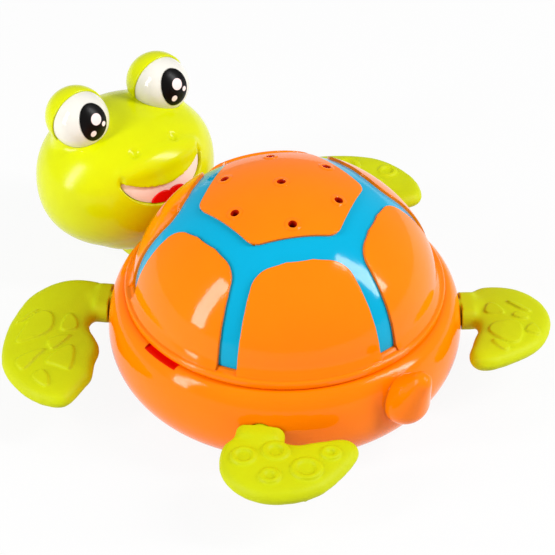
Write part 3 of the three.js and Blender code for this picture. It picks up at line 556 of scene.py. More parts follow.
def flat_on_side(point, middle):
    """Where a point of the plan lies on a side scute's flat."""
    radius = math.hypot(*point)
    turn = (math.atan2(point[1], point[0]) - middle + math.pi) % math.tau - math.pi
    return turn * radius, CLIMB_SCALE * math.acos(min(1.0, radius / SHELL_RADIUS))


flange = [(0, RIM_HEIGHT + HOLLOW_RISE)]
flange += arc((0, RIM_HEIGHT), (HOLLOW_RADIUS, HOLLOW_RISE), 88, 0, 30)
flange += [(HOLLOW_RADIUS, SKIRT_BOTTOM + SKIRT_ROUND), (HOLLOW_RADIUS + SKIRT_ROUND, SKIRT_BOTTOM)]
flange += [(SKIRT_RADIUS - SKIRT_ROUND, SKIRT_BOTTOM), (SKIRT_RADIUS, SKIRT_BOTTOM + SKIRT_ROUND)]
flange += [(SKIRT_RADIUS, LIP_UNDERSIDE)]
lip_turn = (RIM_RADIUS - SKIRT_ROUND, LIP_UNDERSIDE + SKIRT_ROUND)
flange += arc(lip_turn, (SKIRT_ROUND, SKIRT_ROUND), -90, 0, 4)
flange += arc((RIM_RADIUS - LIP_ROUND, LIP_TOP - LIP_ROUND), (LIP_ROUND, LIP_ROUND), 0, 84, 6)
flange += arc((FILLET_CENTRE, LIP_TOP + LIP_FILLET), (LIP_FILLET, LIP_FILLET), 265, 190, 6)
flange += [(radius, LIP_TOP + rise) for radius, rise in LIP_STEP]
flange += dome_skin(CHANNEL_DEPTH, CHANNEL_START, 40)
shell = turned(flange, 160)
hexagon = []
for k in range(6):
    turn = math.radians(60 * k)
    hexagon.append((SCUTE_RADIUS * math.sin(turn), SCUTE_RADIUS * math.cos(turn) - SCUTE_SHIFT))
top_scute = slabbed(hexagon, [(TOP_CORNER, range(6))], SCUTE_GRID, SCUTE_DEPTH, SCUTE_ROUND)
scutes = [bent(top_scute, on_top)]
flat = SCUTE_RADIUS * math.cos(math.pi / 6) + WEB_WIDTH
half_leg = LEG_WIDTH / 2
corner = (flat / 2 - half_leg) / math.cos(math.pi / 6)
origin = Vector((0, -SCUTE_SHIFT))
for k in range(6):
    middle = math.radians(60 * k)
    out = Vector((math.cos(middle), math.sin(middle)))
    side = Vector((-math.sin(middle), math.cos(middle)))
    edges = []
    for hand in (1, -1):
        leg = out * math.cos(math.pi / 6) + side * hand * 0.5
        start = origin + out * flat + side * hand * corner
        ahead = start.dot(leg)
        run = math.sqrt(ahead**2 + SCUTE_FOOT**2 - start.length_squared) - ahead
        points = [start + leg * run * share for share in SIDE_POINTS]
        edges.append([flat_on_side(point, middle) for point in points])
    top_edge = [origin + out * flat + side * corner * share for share in (-0.3, 0.3)]
    loop = edges[0] + edges[1][::-1] + [flat_on_side(point, middle) for point in top_edge]
    rounds = [(SIDE_CORNER, [0, len(edges[0]) * 2 - 1])]
    side_scute = slabbed(loop, rounds, SCUTE_GRID, SCUTE_DEPTH, SCUTE_ROUND)
    scutes.append(bent(side_scute, on_side(middle)))
shell = joined(shell, scutes)
nozzles, rims, jets = [], [], []
spread, climb = SHELL_RADIUS**2, SHELL_RISE**2
for x, y in [(0.0, 0.0)] + arc((0, 0), (SPRAY_CIRCLE, SPRAY_CIRCLE), 0, 300, 5):
    seat = on_top(x, y - SCUTE_SHIFT, 0)
    normal = Vector((seat.x / spread, seat.y / spread, (seat.z - RIM_HEIGHT) / climb)).normalized()
    jets.append((seat, normal))
    nozzle = [(0, -SPRAY_DEPTH), (SPRAY_RADIUS, -SPRAY_DEPTH), (SPRAY_RADIUS, -0.6)]
    nozzle += [(SPRAY_RADIUS + 0.4, 0.1), (SPRAY_RADIUS + 0.7, 0.6), (0, 0.6)]
    rim = [(0, -SPRAY_RIM_ROOT), (SPRAY_RIM_RADIUS, -SPRAY_RIM_ROOT), (SPRAY_RIM_RADIUS, 0)]
    rim += [(SPRAY_RIM_RADIUS - 0.4, SPRAY_RIM), (0, SPRAY_RIM)]
    aim = (normal.to_track_quat("Z", "Y").to_matrix().to_4x4(), Matrix.Translation(seat))
    nozzles.append(moved(turned(nozzle, 32), *aim))
    rims.append(moved(turned(rim, 32), *aim))
shell = joined(joined(shell, rims), nozzles, "DIFFERENCE")

# The faces inside the spray holes are marked, so that the finish can paint them dark red as painted
# shade.
bore_mark = shell.faces.layers.float.new("bore")
for face in shell.faces:
    for seat, normal in jets:
        offset = face.calc_center_median() - seat
        depth = offset.dot(normal)
        if depth < 0 and (offset - normal * depth).length < SPRAY_RADIUS + 0.3:
            face[bore_mark] = 1.0
shell_finish, place, tone, roughness, skin = gloss_finish(
    "orange_shell_abs", ORANGE, DEEP_ORANGE, edge=0.0009
)
# The marked bore faces take the dark red painted shade in place of the orange.
bore_painted_shade = place.step("ShaderNodeAttribute", {"attribute_name": "bore"}, {}, "Fac")
coated(
    place, bore_painted_shade.between(tone, BORE_PAINTED_SHADE), roughness, skin,
    Coat_Weight=0.12, Coat_Roughness=0.03, Specular_IOR_Level=ABS_SPECULAR,
)
finished("shell_moulding", shell, shell_finish, "shell", "shell", "shell_dome")


# Web: the blue lines between the scutes, a thin gloss ABS net that is pressed into the shell's channels
# and glued there. Its edges are tucked a little way under the scutes.
WEB_RECESS = 1.1
WEB_START = 5.4
WEB_THICKNESS = 0.8
TUCK = 1.2
BLUE = colour(0, 167, 207)
DEEP_BLUE = colour(0, 152, 194)

net = turned(dome_skin(WEB_RECESS, WEB_START, 96), 288)
spare = []
for face in net.faces:
    middle = face.calc_center_median()
    x, y = middle.x, middle.y + SCUTE_SHIFT
    sides = [x * math.cos(math.pi / 3 * k) + y * math.sin(math.pi / 3 * k) for k in range(6)]
    out, leg = max(sides), min(abs(side) for side in sides[:3])
    in_band = flat - WEB_WIDTH - TUCK < out < flat + TUCK
    if not in_band and (out < flat or leg > half_leg + TUCK):
        spare.append(face)
bmesh.ops.delete(net, geom=spare, context="FACES")
net = worked(net, ("SOLIDIFY", {"thickness": WEB_THICKNESS, "offset": -1.0}))
web_finish, place, tone, roughness, skin = gloss_finish("blue_web_abs", BLUE, DEEP_BLUE)
coated(
    place, tone, roughness, skin,
    Coat_Weight=0.06, Coat_Roughness=0.03, Specular_IOR_Level=ABS_SPECULAR,
)
finished("web_net", net, web_finish, "shell", "web", "shell_web")


# Neck arm: a lime bar moulded in satin plastic that leaves the hull low at the front, screwed in from
# below, and ends in a round pad that carries the knob of the head.
NECK_DISTANCE = 105.47
ARM_HALF_WIDTH = 7.5
ARM_ROOT = 36.3
ARM_BOTTOM = 2.9
ARM_TOP = 13.2
ARM_ROUND = 1.0
ARM_SEAT = 1.6
PAD_RADIUS = 11.0
KNOB_BORE = 4.4
KNOB_SEAT = 10.0
LIME = colour(214, 223, 0)
DEEP_LIME = colour(198, 198, 0)


def vinyl_finish(name, tone, deep, roughness, grain_size, grain_strength):
    """Soft moulded vinyl: an even tint that drifts a little, a satin skin and a fine grain."""
    material, place = new_finish(name)
    drift = place.grain(24, 3.0)
    bloom = place.grain(5, 4.0, 0.65)
    grain = place.grain(grain_size, 3.0, 0.7)
    shade = (drift * 0.6 + bloom * 0.35 + grain * 0.2 - 0.4).between(tone, deep)
    skin = {"Height": grain + bloom * 0.5, "Strength": grain_strength, "Distance": 0.0003}
    satin = roughness + bloom * 0.16 + grain * 0.06
    return material, place, shade, satin, place.step("ShaderNodeBump", {}, skin)


plan = bmesh.new()
spread = math.degrees(math.asin(ARM_HALF_WIDTH / PAD_RADIUS))
pad = arc((0, -NECK_DISTANCE), (PAD_RADIUS, PAD_RADIUS), 90 + spread, 450 - spread, 48)
ends = [(ARM_HALF_WIDTH, -ARM_ROOT), (-ARM_HALF_WIDTH, -ARM_ROOT)]
sole = plan.faces.new([plan.verts.new((x, y, ARM_BOTTOM)) for x, y in ends + pad])
bmesh.ops.translate(plan, vec=(0, 0, ARM_TOP - ARM_BOTTOM), verts=drawn_out(plan, [sole]))
bmesh.ops.recalc_face_normals(plan, faces=plan.faces)
rims = [e for e in plan.edges if abs(e.verts[0].co.z - e.verts[1].co.z) < 0.01]
bmesh.ops.bevel(plan, geom=rims, offset=ARM_ROUND, affect="EDGES", segments=4, profile=0.5, material=-1)
well = rod(WELL_RADIUS, 0, ARM_BOTTOM + ARM_SEAT, 32)
socket = rod(KNOB_BORE, KNOB_SEAT, ARM_TOP + 1.8, 40)
cuts = [moved(form, shift(0, -NECK_DISTANCE, 0)) for form in (well, socket)]
neck_finish, place, tone, roughness, skin = vinyl_finish(
    "lime_neck_plastic", LIME, DEEP_LIME, roughness=0.3, grain_size=0.8, grain_strength=0.12
)
coated(place, tone, roughness, skin, IOR=1.48, Specular_IOR_Level=0.2)
finished("neck_bar", joined(plan, cuts, "DIFFERENCE"), neck_finish, "base", "neck", "neck_arm")


# Knob and flipper plugs: white nylon fittings that are out of sight once the toy is together. The head
# snaps over the knob's flange, and a plug inside the hull keeps each flipper stem from pulling out.
nylon_finish, place = new_finish("white_nylon")
cloud = place.grain(6, 3.0)
speckle = place.grain(0.4, 2.0)
milk = (cloud * 0.7 + speckle * 0.3).between(colour(244, 243, 238), colour(228, 226, 218))
matt = place.step("ShaderNodeBump", {}, {"Height": speckle, "Strength": 0.1, "Distance": 0.0002})
coated(place, milk, 0.35 + cloud * 0.15, matt)
for node in ["neck_knob"] + ["fin_plug_" + name for name in FLIPPER_TURNS]:
    fitting = frame["nodes"][node]
    fitting.data.materials.clear()
    fitting.data.materials.append(nylon_finish)


# Head: a hollow lime vinyl moulding, rotationally cast, with two hoods behind the eyes, a low muzzle
# over the open smile, a full chin, shallow nostrils and a crease at each corner of the mouth. It snaps
# over the knob and turns on it.
HEAD_CENTRE = 39.0
HEAD_HALF = (37.5, 32.0, 28.0)
HEAD_FULLNESS = 2.3
HEAD_OFFSET = 7.5
HEAD_BASE = 13.5
BASE_CUT = ((-60, -60, -20), (60, 60, HEAD_BASE))
HEAD_YAW = -1.5
EYE_RADIUS = 11.5
EYE_PLACE = (19.5, HEAD_OFFSET - 2.3, 69.3)
EYE_SHIFT = -0.8
EYE_FIT = 0.06
HOOD_RADIUS = 12.2
HOOD_SETBACK = 2.4
HOOD_LEAN = 2.5
HOOD_REACH = 3.0
STALK = ((0, 45), (11.6, 45), (10.2, 60), (9.6, 68), (0, 68))
MUZZLE = ((21.5, 9.4, 8.6), (0, 27.3, 53.4))
CHIN = ((28.0, 20.5, 18.0), (0, 16.0, 28.0))
NOSTRIL = ((2.9, 2.9, 3.8), (9.1, 27.6, 2.3))
CREASE = ((1.3, 1.3, 3.8), (18.7, 54.6, 0.5))
CLEAR_OF_HEAD = 90.0
MOUTH_HALF_WIDTH = 18.8
MOUTH_CORNER = 52.5
UPPER_LIP = 48.3
LOWER_LIP = 41.0
MOUTH_BACK = HEAD_OFFSET + HEAD_HALF[1] - 9.0
MOUTH_FRONT = 60.0
MOUTH_GAP = 0.2
FIRST_CAST = (0.8, 16)
LAST_CAST = (0.6, 4)

head_place = (turn_about("Z", HEAD_YAW), shift(0, -NECK_DISTANCE, 0))
eye_centres = [Vector((side * EYE_PLACE[0] + EYE_SHIFT, *EYE_PLACE[1:])) for side in (1, -1)]


def head_egg(inset):
    """The head's egg, flat under its base, thinner by the given amount."""
    power = 2 / HEAD_FULLNESS
    low = math.degrees(math.asin(-(((HEAD_CENTRE - HEAD_BASE) / HEAD_HALF[2]) ** (1 / power))))
    side = arc((0, 0), (1, 1), low, 90, 48)
    half_width, half_depth, half_height = (half - inset for half in HEAD_HALF)
    skin = []
    for x, y in side[:-1]:
        height = math.copysign(abs(y) ** power, y) * half_height
        skin.append((half_width * max(0.0, x) ** power, height))
    skin = [(0, skin[0][1])] + skin + [(0, half_height)]
    stretch = Matrix.Diagonal((1, half_depth / half_width, 1, 1))
    return moved(turned(skin, 128), stretch, shift(0, HEAD_OFFSET, HEAD_CENTRE))


def ball(radii, centre, columns=64, rows=40):
    """A ball or an egg about a centre, by its three radii."""
    form = bmesh.new()
    bmesh.ops.create_uvsphere(form, u_segments=columns, v_segments=rows, radius=1.0)
    return moved(form, Matrix.Diagonal((*radii, 1)), Matrix.Translation(centre))


def smile(grow, back):
    """The open mouth seen from the front, as a slab that points forward."""
    form = bmesh.new()
    half, corner = MOUTH_HALF_WIDTH + 2 * grow, MOUTH_CORNER + 2 * grow
    lower = arc((0, corner), (half, corner - LOWER_LIP + grow), 180, 360, 28)
    upper = [1 - step / 12 for step in range(1, 24)]
    lip = UPPER_LIP + grow
    points = lower + [(half * x, lip + (corner - lip) * x * x) for x in upper]
    face = form.faces.new([form.verts.new((x, back, z)) for x, z in points])
    bmesh.ops.translate(form, vec=(0, MOUTH_FRONT - back, 0), verts=drawn_out(form, [face]))
    bmesh.ops.recalc_face_normals(form, faces=form.faces)
    return form


def cast(form, voxel, passes):
    """A form fused into one soft-edged skin, as a casting is."""
    fuse = {"mode": "VOXEL", "voxel_size": voxel, "use_smooth_shade": True}
    return worked(form, ("REMESH", fuse), ("SMOOTH", {"factor": 0.5, "iterations": passes}))


chin = joined(ball(*CHIN), [block(*BASE_CUT)], "DIFFERENCE")
forms = [head_egg(0.0), ball(*MUZZLE), chin]
hoods, sockets = [], []
for centre in eye_centres:
    aim = (turn_about("X", -90 - HOOD_LEAN), Matrix.Translation(centre))
    outside = arc((0, -HOOD_SETBACK), (HOOD_RADIUS, HOOD_RADIUS), -90, HOOD_REACH, 40)
    edge, front = outside[-1]
    rim = [(edge - 0.1, front + 0.3), (edge - 0.4, front + 0.4), (EYE_RADIUS - 0.6, front + 0.3)]
    hoods.append(moved(turned(outside + rim + [(0, front - 1)], 96), *aim))
    core = arc((0, -HOOD_SETBACK), (HOOD_RADIUS - 0.5, HOOD_RADIUS - 0.5), -90, -HOOD_REACH, 40)
    forms.append(moved(turned(core + [(0, core[-1][1])], 64), *aim))
    forms.append(moved(turned(STALK, 64), shift(centre.x, centre.y - HOOD_SETBACK, 0)))
    sockets.append(ball((EYE_RADIUS + EYE_FIT,) * 3, centre, 128, 80))
head = cast(gathered(forms), *FIRST_CAST)

# A nostril goes where a line straight down meets the skin, and a crease where one from the front does.
skin_of_head = BVHTree.FromBMesh(head)
dents = [rod(KNOB_BORE, KNOB_SEAT, HEAD_BASE + 4.5, 40)]
for side in (1, -1):
    radii, (x, y, lift) = NOSTRIL
    spot, normal = skin_of_head.ray_cast(Vector((side * x, y, CLEAR_OF_HEAD)), Vector((0, 0, -1)))[:2]
    dents.append(ball(radii, spot + normal * lift, 32, 20))
    radii, (x, z, lift) = CREASE
    spot, normal = skin_of_head.ray_cast(Vector((side * x, CLEAR_OF_HEAD, z)), Vector((0, -1, 0)))[:2]
    dents.append(ball(radii, spot + normal * lift, 32, 20))
head = joined(joined(head, dents, "DIFFERENCE"), [smile(MOUTH_GAP, MOUTH_BACK)], "DIFFERENCE")
head = cast(head, *LAST_CAST)
head = joined(joined(head, hoods), sockets, "DIFFERENCE")
moved(head, *head_place)
head_finish, place, tone, roughness, skin = vinyl_finish(
    "lime_head_vinyl", LIME, DEEP_LIME, roughness=0.1, grain_size=0.7, grain_strength=0.06
)
coated(place, tone, roughness, skin, Specular_IOR_Level=0.22)
finished("head_casting", head, head_finish, "head", "head", "head", crease=60)


# Eyes: white gloss ABS balls pressed into the hoods, each with a black oval pupil let into its front.
# The pupils carry three pale printed dots, a large one and two small ones.
PUPIL_HALF = (5.9, 7.5)
PUPIL_LIFT = 20.0
PUPIL_PROUD = 0.25
PUPIL_DEPTH = 0.7
PUPIL_ROUND = 0.3
PUPIL_GRID = 0.8
PUPIL_FIT = 0.15
RECESS_DEPTH = 1.6
RECESS_ROUND = 0.2
RECESS_GRID = 0.9
RECESS_FLOOR = EYE_RADIUS - 0.6
DOTS = ((-0.8, 1.1, 2.3), (1.5, -4.1, 1.2), (-3.8, -1.9, 1.0))
DOT_SHEET = 20.0
DOT_BLUR = 0.1
DOT_PINK = colour(255, 236, 236)

white_finish, place, tone, roughness, skin = gloss_finish(
    "white_eye_abs", colour(232, 229, 220), colour(222, 218, 206)
)
coated(place, tone, roughness, skin, Coat_Weight=0.2, Coat_Roughness=0.03, Specular_IOR_Level=0.3)
pupil_finish, place, tone, roughness, skin = gloss_finish(
    "black_pupil_print", colour(10, 9, 9), colour(22, 18, 18)
)
sheet = place.step("ShaderNodeTexCoord", output="UV")
dots = 0.0
for x, z, radius in DOTS:
    spot = (0.5 + x / DOT_SHEET, 0.5 + z / DOT_SHEET, 0)
    gap = place.step("ShaderNodeVectorMath", {"operation": "DISTANCE"}, {0: sheet, 1: spot}, "Value")
    outer, inner = (radius + DOT_BLUR) / DOT_SHEET, (radius - DOT_BLUR) / DOT_SHEET
    edge = {"Value": gap, "From Min": outer, "From Max": inner}
    dots = place.step("ShaderNodeMapRange", {}, edge) + dots
coated(place, dots.between(tone, DOT_PINK), roughness + 0.22, skin, Specular_IOR_Level=0.12)


def on_eye(centre):
    """The rule for a pupil: its flat lies square to a line that looks a little up out of the eye."""
    lift = turn_about("X", PUPIL_LIFT).to_3x3()

    def rule(x, z, sink):
        front = math.sqrt(EYE_RADIUS**2 - x * x - z * z)
        return centre + lift @ (Vector((x, front, z)) * (1 - (sink - PUPIL_PROUD) / EYE_RADIUS))

    return rule


for centre, label in zip(eye_centres, ("left", "right")):
    oval = arc((0, 0), PUPIL_HALF, 0, 354, 59)
    wider_oval = arc((0, 0), [half + PUPIL_FIT for half in PUPIL_HALF], 0, 354, 59)
    recess = bent(slabbed(wider_oval, [], RECESS_GRID, RECESS_DEPTH, RECESS_ROUND), on_eye(centre))
    eye = ball((EYE_RADIUS,) * 3, (0, 0, 0), 96, 64)
    moved(eye, turn_about("X", 90), Matrix.Translation(centre))
    eye = joined(eye, [recess], "DIFFERENCE")
    eye = joined(eye, [ball((RECESS_FLOOR,) * 3, centre)])
    moved(eye, *head_place)
    finished("eye_" + label, eye, white_finish, "head", "eye_white", "eyeball_" + label)
    print_layer = slabbed(oval, [], PUPIL_GRID, PUPIL_DEPTH, PUPIL_ROUND)
    sheet_layer = print_layer.loops.layers.uv.new("print")
    for face in print_layer.faces:
        for loop in face.loops:
            loop[sheet_layer].uv = (0.5 + loop.vert.co.x / DOT_SHEET, 0.5 + loop.vert.co.y / DOT_SHEET)
    pupil = moved(bent(print_layer, on_eye(centre)), *head_place)
    finished("pupil_print_" + label, pupil, pupil_finish, "head", "pupil", "pupil_" + label)


# Mouth: a pale pink painted plate, glued inside the smile just below the lips, and a flat red ABS
# tongue with two lobes that is glued on top of it.
PINK = colour(246, 226, 214)
DEEP_PINK = colour(238, 208, 192)
LINING_DEPTH = 1.5
LINING_GAP = 0.1
TONGUE_DEPTH = 0.7
TONGUE_GAP = 0.25
TONGUE_LOBE = (4.9, 3.4)
TONGUE_LENGTH = 14.0
TONGUE_TURN = 12.0
TONGUE_PLACE = (3.6, 28.0, 42.4)
TONGUE_SHIFT = 0.4

lining = joined(smile(-LINING_GAP, MOUTH_BACK + 0.2), [head_egg(LINING_DEPTH)], "INTERSECT")
lining_finish, place, tone, roughness, skin = vinyl_finish(
    "pink_lining_paint", PINK, DEEP_PINK, roughness=0.3, grain_size=0.6, grain_strength=0.08
)
coated(place, tone, roughness, skin)
finished("mouth_plate", moved(lining, *head_place), lining_finish, "head", "mouth", "mouth_lining")
lobes = []
for side in (1, -1):
    spot = shift(side * TONGUE_PLACE[0] + TONGUE_SHIFT, *TONGUE_PLACE[1:])
    lobe = moved(rod(1, 0, TONGUE_LENGTH, 48), Matrix.Diagonal((*TONGUE_LOBE, 1, 1)))
    lobes.append(moved(lobe, turn_about("Z", side * TONGUE_TURN), turn_about("X", -90), spot))
tongue = joined(joined(lobes[0], lobes[1:]), [head_egg(TONGUE_DEPTH)], "INTERSECT")
tongue = joined(tongue, [smile(-TONGUE_GAP, MOUTH_BACK + 0.5)], "INTERSECT")
tongue = joined(tongue, [head_egg(LINING_DEPTH + 0.05)], "DIFFERENCE")
tongue_finish, place, tone, roughness, skin = gloss_finish(
    "red_tongue_abs", colour(232, 4, 0), colour(212, 0, 0)
)
coated(place, tone, roughness + 0.1, skin, Specular_IOR_Level=0.2)
finished("tongue_plate", moved(tongue, *head_place), tongue_finish, "head", "tongue", "tongue")


# Flippers: soft matt lime vinyl paddles, moulded with raised wedges on one face and raised rings on the
# other. Each has a flattened heel, hollowed to clear the hull's side, and a round stem that passes
# through a bush of the hull and turns in it.
FIN_ROOT = BULGE_RADIUS + 1.1
FIN_HALF = 3.1
FIN_BANK = 3.6
FIN_CROWN = 0.8
CROWN_REACH = 12.0
FIN_GRID = 1.5
EDGE_BANDS = (0.15, 0.25, 0.4, 0.6, 0.9, 1.2)
SHAFT_RADIUS = 4.5
SHAFT_START = 52.0
ROOT_GAP = 0.35
ROOT_FLATNESS = 0.53
ROOT_PROFILE = ((0, -6), (8.9, -6), (8.9, 2), (8.4, 4), (7.6, 7), (6.2, 10), (4.6, 13), (0, 16))
HEEL_RADIUS = 4.7
HEEL_SPREAD = 4.2
HEEL_BACK = FIN_ROOT - 6
HEEL_FRONT = FIN_ROOT + 4
HEEL_NOSE = FIN_ROOT + 8
RELIEF = 0.85
RELIEF_ROOT = 1.2
RING_SCALE = 0.92
RING_ROUND = 0.2
PADDLE_CAST = (0.7, 11)
FIN_CAST = (0.42, 2)
WEDGES_UP = ("front_left", "rear_right")
FIN_LIME = colour(198, 207, 0)
DEEP_FIN_LIME = colour(178, 181, 0)

# How each flipper is set on its stem: its tilt and its sweep in degrees, and its slide along the hull.
FIN_SETTING = {
    "front_left": (-3.0, 0.0, 0.0),
    "front_right": (0.0, -2.0, 1.0),
    "rear_left": (0.0, 0.0, 0.0),
    "rear_right": (3.0, 0.0, 0.0),
}
FIN_OUTLINE = {
    "front": [
        (0.6, -7), (4, -9.6), (8.8, -10.7), (14, -10.7), (19.1, -9.2), (23.6, -6.5), (27.9, -2.3),
        (31.3, 3), (33.4, 9.9), (35, 17.5), (35.4, 25), (34.9, 31.5), (33.6, 38), (30.6, 43.8),
        (26.2, 49), (20.9, 53.4), (15, 56.2), (10, 57), (6.2, 56.3), (3.6, 53.2), (0.1, 45),
        (-1.4, 41), (-0.9, 33.5), (-1.6, 29.5), (-1.2, 25.2), (1.2, 20.6), (3.6, 17), (4.6, 13.4),
        (3.4, 9.8), (0.6, 7.2),
    ],
    "rear": [
        (0.6, -7.2), (4, -10), (7.3, -12.3), (11.2, -12.9), (15.3, -12.7), (19.3, -11.8),
        (22.8, -10.2), (26.4, -7.4), (29.1, -4.1), (31.2, -0.2), (32.3, 4.3), (32.5, 8.2),
        (31.8, 12.9), (30.3, 17.5), (28, 21.9), (24.5, 26), (20, 29.3), (15, 32.2), (9.8, 34.6),
        (5.6, 35.8), (2.2, 35.4), (0, 33.6), (-1.3, 30.6), (-0.9, 27.4), (0.2, 24.3), (1.2, 21.3),
        (2.1, 18.2), (3.6, 15.2), (4, 12.3), (3.2, 9.4), (0.6, 7.2),
    ],
}
FIN_WEDGES = {
    "front": [
        [
            (29.2, 29), (28.5, 22.9), (26.3, 14.8), (22.8, 11.6), (19.2, 12.9), (17.7, 17.8),
            (18.7, 22.4), (22.6, 26.1),
        ],
        [(14.2, 20.2), (14.1, 14.6), (12.2, 11.6), (9.6, 14.2), (8.5, 17.4), (9, 19.4), (12.1, 21.1)],
        [(17.6, 27.2), (13.8, 24.6), (10, 23.3), (11.2, 25.9), (15, 31.6), (16.7, 30.3)],
        [(27.3, 38), (23.2, 34.3), (18.2, 32.1), (19.9, 35.6), (23.7, 42.9), (26.2, 41.6)],
        [
            (16.3, 38.1), (12.4, 31.5), (9.9, 29.1), (7.9, 29.4), (6.9, 33.6), (6.9, 40.6),
            (9.1, 41.1), (13.1, 39.6),
        ],
        [(19.5, 46.7), (19, 44), (16.5, 43.2), (14.1, 46.1), (13.4, 50.2), (14.3, 50.7), (17.2, 49.1)],
        [(31.7, 18.8), (28.7, 14.5), (25.2, 10.8), (25.4, 11.9), (28.4, 16.2)],
    ],
    "rear": [
        [(7.7, 4.8), (9.5, 0.9), (12.2, 2), (14.6, 7), (12.2, 7.3), (8.3, 6.8)],
        [(16.7, 0.2), (19, 0.7), (24.5, 5.8), (23.3, 6.6), (20.2, 4.4)],
        [(17.7, 9), (19.9, 7.1), (23, 8.7), (23, 11.1), (20, 11)],
        [
            (7.7, 17.2), (10.4, 13.1), (16, 12.3), (19.6, 14), (20.2, 19), (17.9, 24.6),
            (14.1, 25.1), (10.5, 22.1),
        ],
        [(21.4, 18.2), (24.6, 14.1), (26.7, 19.3), (24.4, 20.3)],
        [(8.2, 23.7), (9.9, 23.4), (13.8, 26.9), (13.1, 29.3), (11.4, 29.3), (9, 26)],
    ],
}
FIN_RINGS = {
    "front": [
        (13, 2.5, 4.9, 2.8), (22.8, 8.5, 3.9, 2.3), (14, 20, 5.4, 3.1), (25, 26.5, 5.8, 3.4),
        (14, 36, 4.8, 2.8), (21.5, 43, 4.1, 2.4),
    ],
    "rear": [
        (14.5, -3.9, 4.9, 3.1), (10.5, 6.9, 5.3, 2.9), (23.2, 6.5, 4.1, 2), (18.1, 18.7, 6, 3.7),
        (8.9, 26.2, 3.8, 1.7),
    ],
}


def fin_place(along, across, side, sweep, slide):
    """Where a point of a flipper's drawing lies, out from the middle of the hull and across."""
    swept = turn_about("Z", sweep) @ Vector((along, side * (across + slide), 0))
    return FIN_ROOT + swept.x, swept.y


def flowing(points, between=4):
    """A closed smooth line through the points."""
    line = []
    for index in range(len(points)):
        a, b, c, d = (Vector(points[(index + step) % len(points)]) for step in (-1, 0, 1, 2))
        for step in range(between):
            t = step / between
            pull = (2 * b) + (c - a) * t + (2 * a - 5 * b + 4 * c - d) * t**2
            line.append((pull + (3 * b - a - 3 * c + d) * t**3) / 2)
    return line


def edge_gap(x, y, outline):
    """How far a place on a flipper is from its edge."""
    spot = Vector((x, y))
    gaps = []
    for start, end in zip(outline, outline[1:] + outline[:1]):
        run = end - start
        share = min(1.0, max(0.0, (spot - start).dot(run) / run.length_squared))
        gaps.append((start + run * share - spot).length)
    return min(gaps)


def fullness(x, y, outline):
    """Half of a flipper's thickness at a place: rounded over at the edge and gently crowned."""
    gap = edge_gap(x, y, outline)
    bank = 1 - min(1.0, gap / FIN_BANK)
    return FIN_HALF * math.sqrt(1 - bank * bank) + FIN_CROWN * min(1.0, gap / CROWN_REACH)


def cushion(outline):
    """A flat outline swelled to both sides, with a round edge."""
    form = bmesh.new()
    form.faces.new([form.verts.new((x, y, 0)) for x, y in outline])
    for band in EDGE_BANDS:
        middle = max(form.faces, key=lambda f: f.calc_area())
        bmesh.ops.inset_region(form, faces=[middle], thickness=band, use_even_offset=True)
    gridded(form, FIN_GRID)
    for vert in form.verts:
        vert.co.z = 0 if vert.is_boundary else fullness(vert.co.x, vert.co.y, outline)
    under = bmesh.ops.duplicate(form, geom=form.verts[:] + form.edges[:] + form.faces[:])["geom"]
    bmesh.ops.scale(form, vec=(1, 1, -1), verts=[v for v in under if isinstance(v, bmesh.types.BMVert)])
    bmesh.ops.remove_doubles(form, verts=form.verts, dist=0.002)
    bmesh.ops.recalc_face_normals(form, faces=form.faces)
    return form


def raised_wedge(corners, outline, face):
    """A low wedge that follows the flipper's face, up for face 1 and down for face -1."""
    form = bmesh.new()
    sunk = [form.verts.new((x, y, face * (fullness(x, y, outline) - RELIEF_ROOT))) for x, y in corners]
    raised = drawn_out(form, [form.faces.new(sunk)])
    bmesh.ops.translate(form, vec=(0, 0, face * (RELIEF_ROOT + RELIEF)), verts=raised)
    bmesh.ops.triangulate(form, faces=form.faces[:])
    bmesh.ops.recalc_face_normals(form, faces=form.faces)
    return form


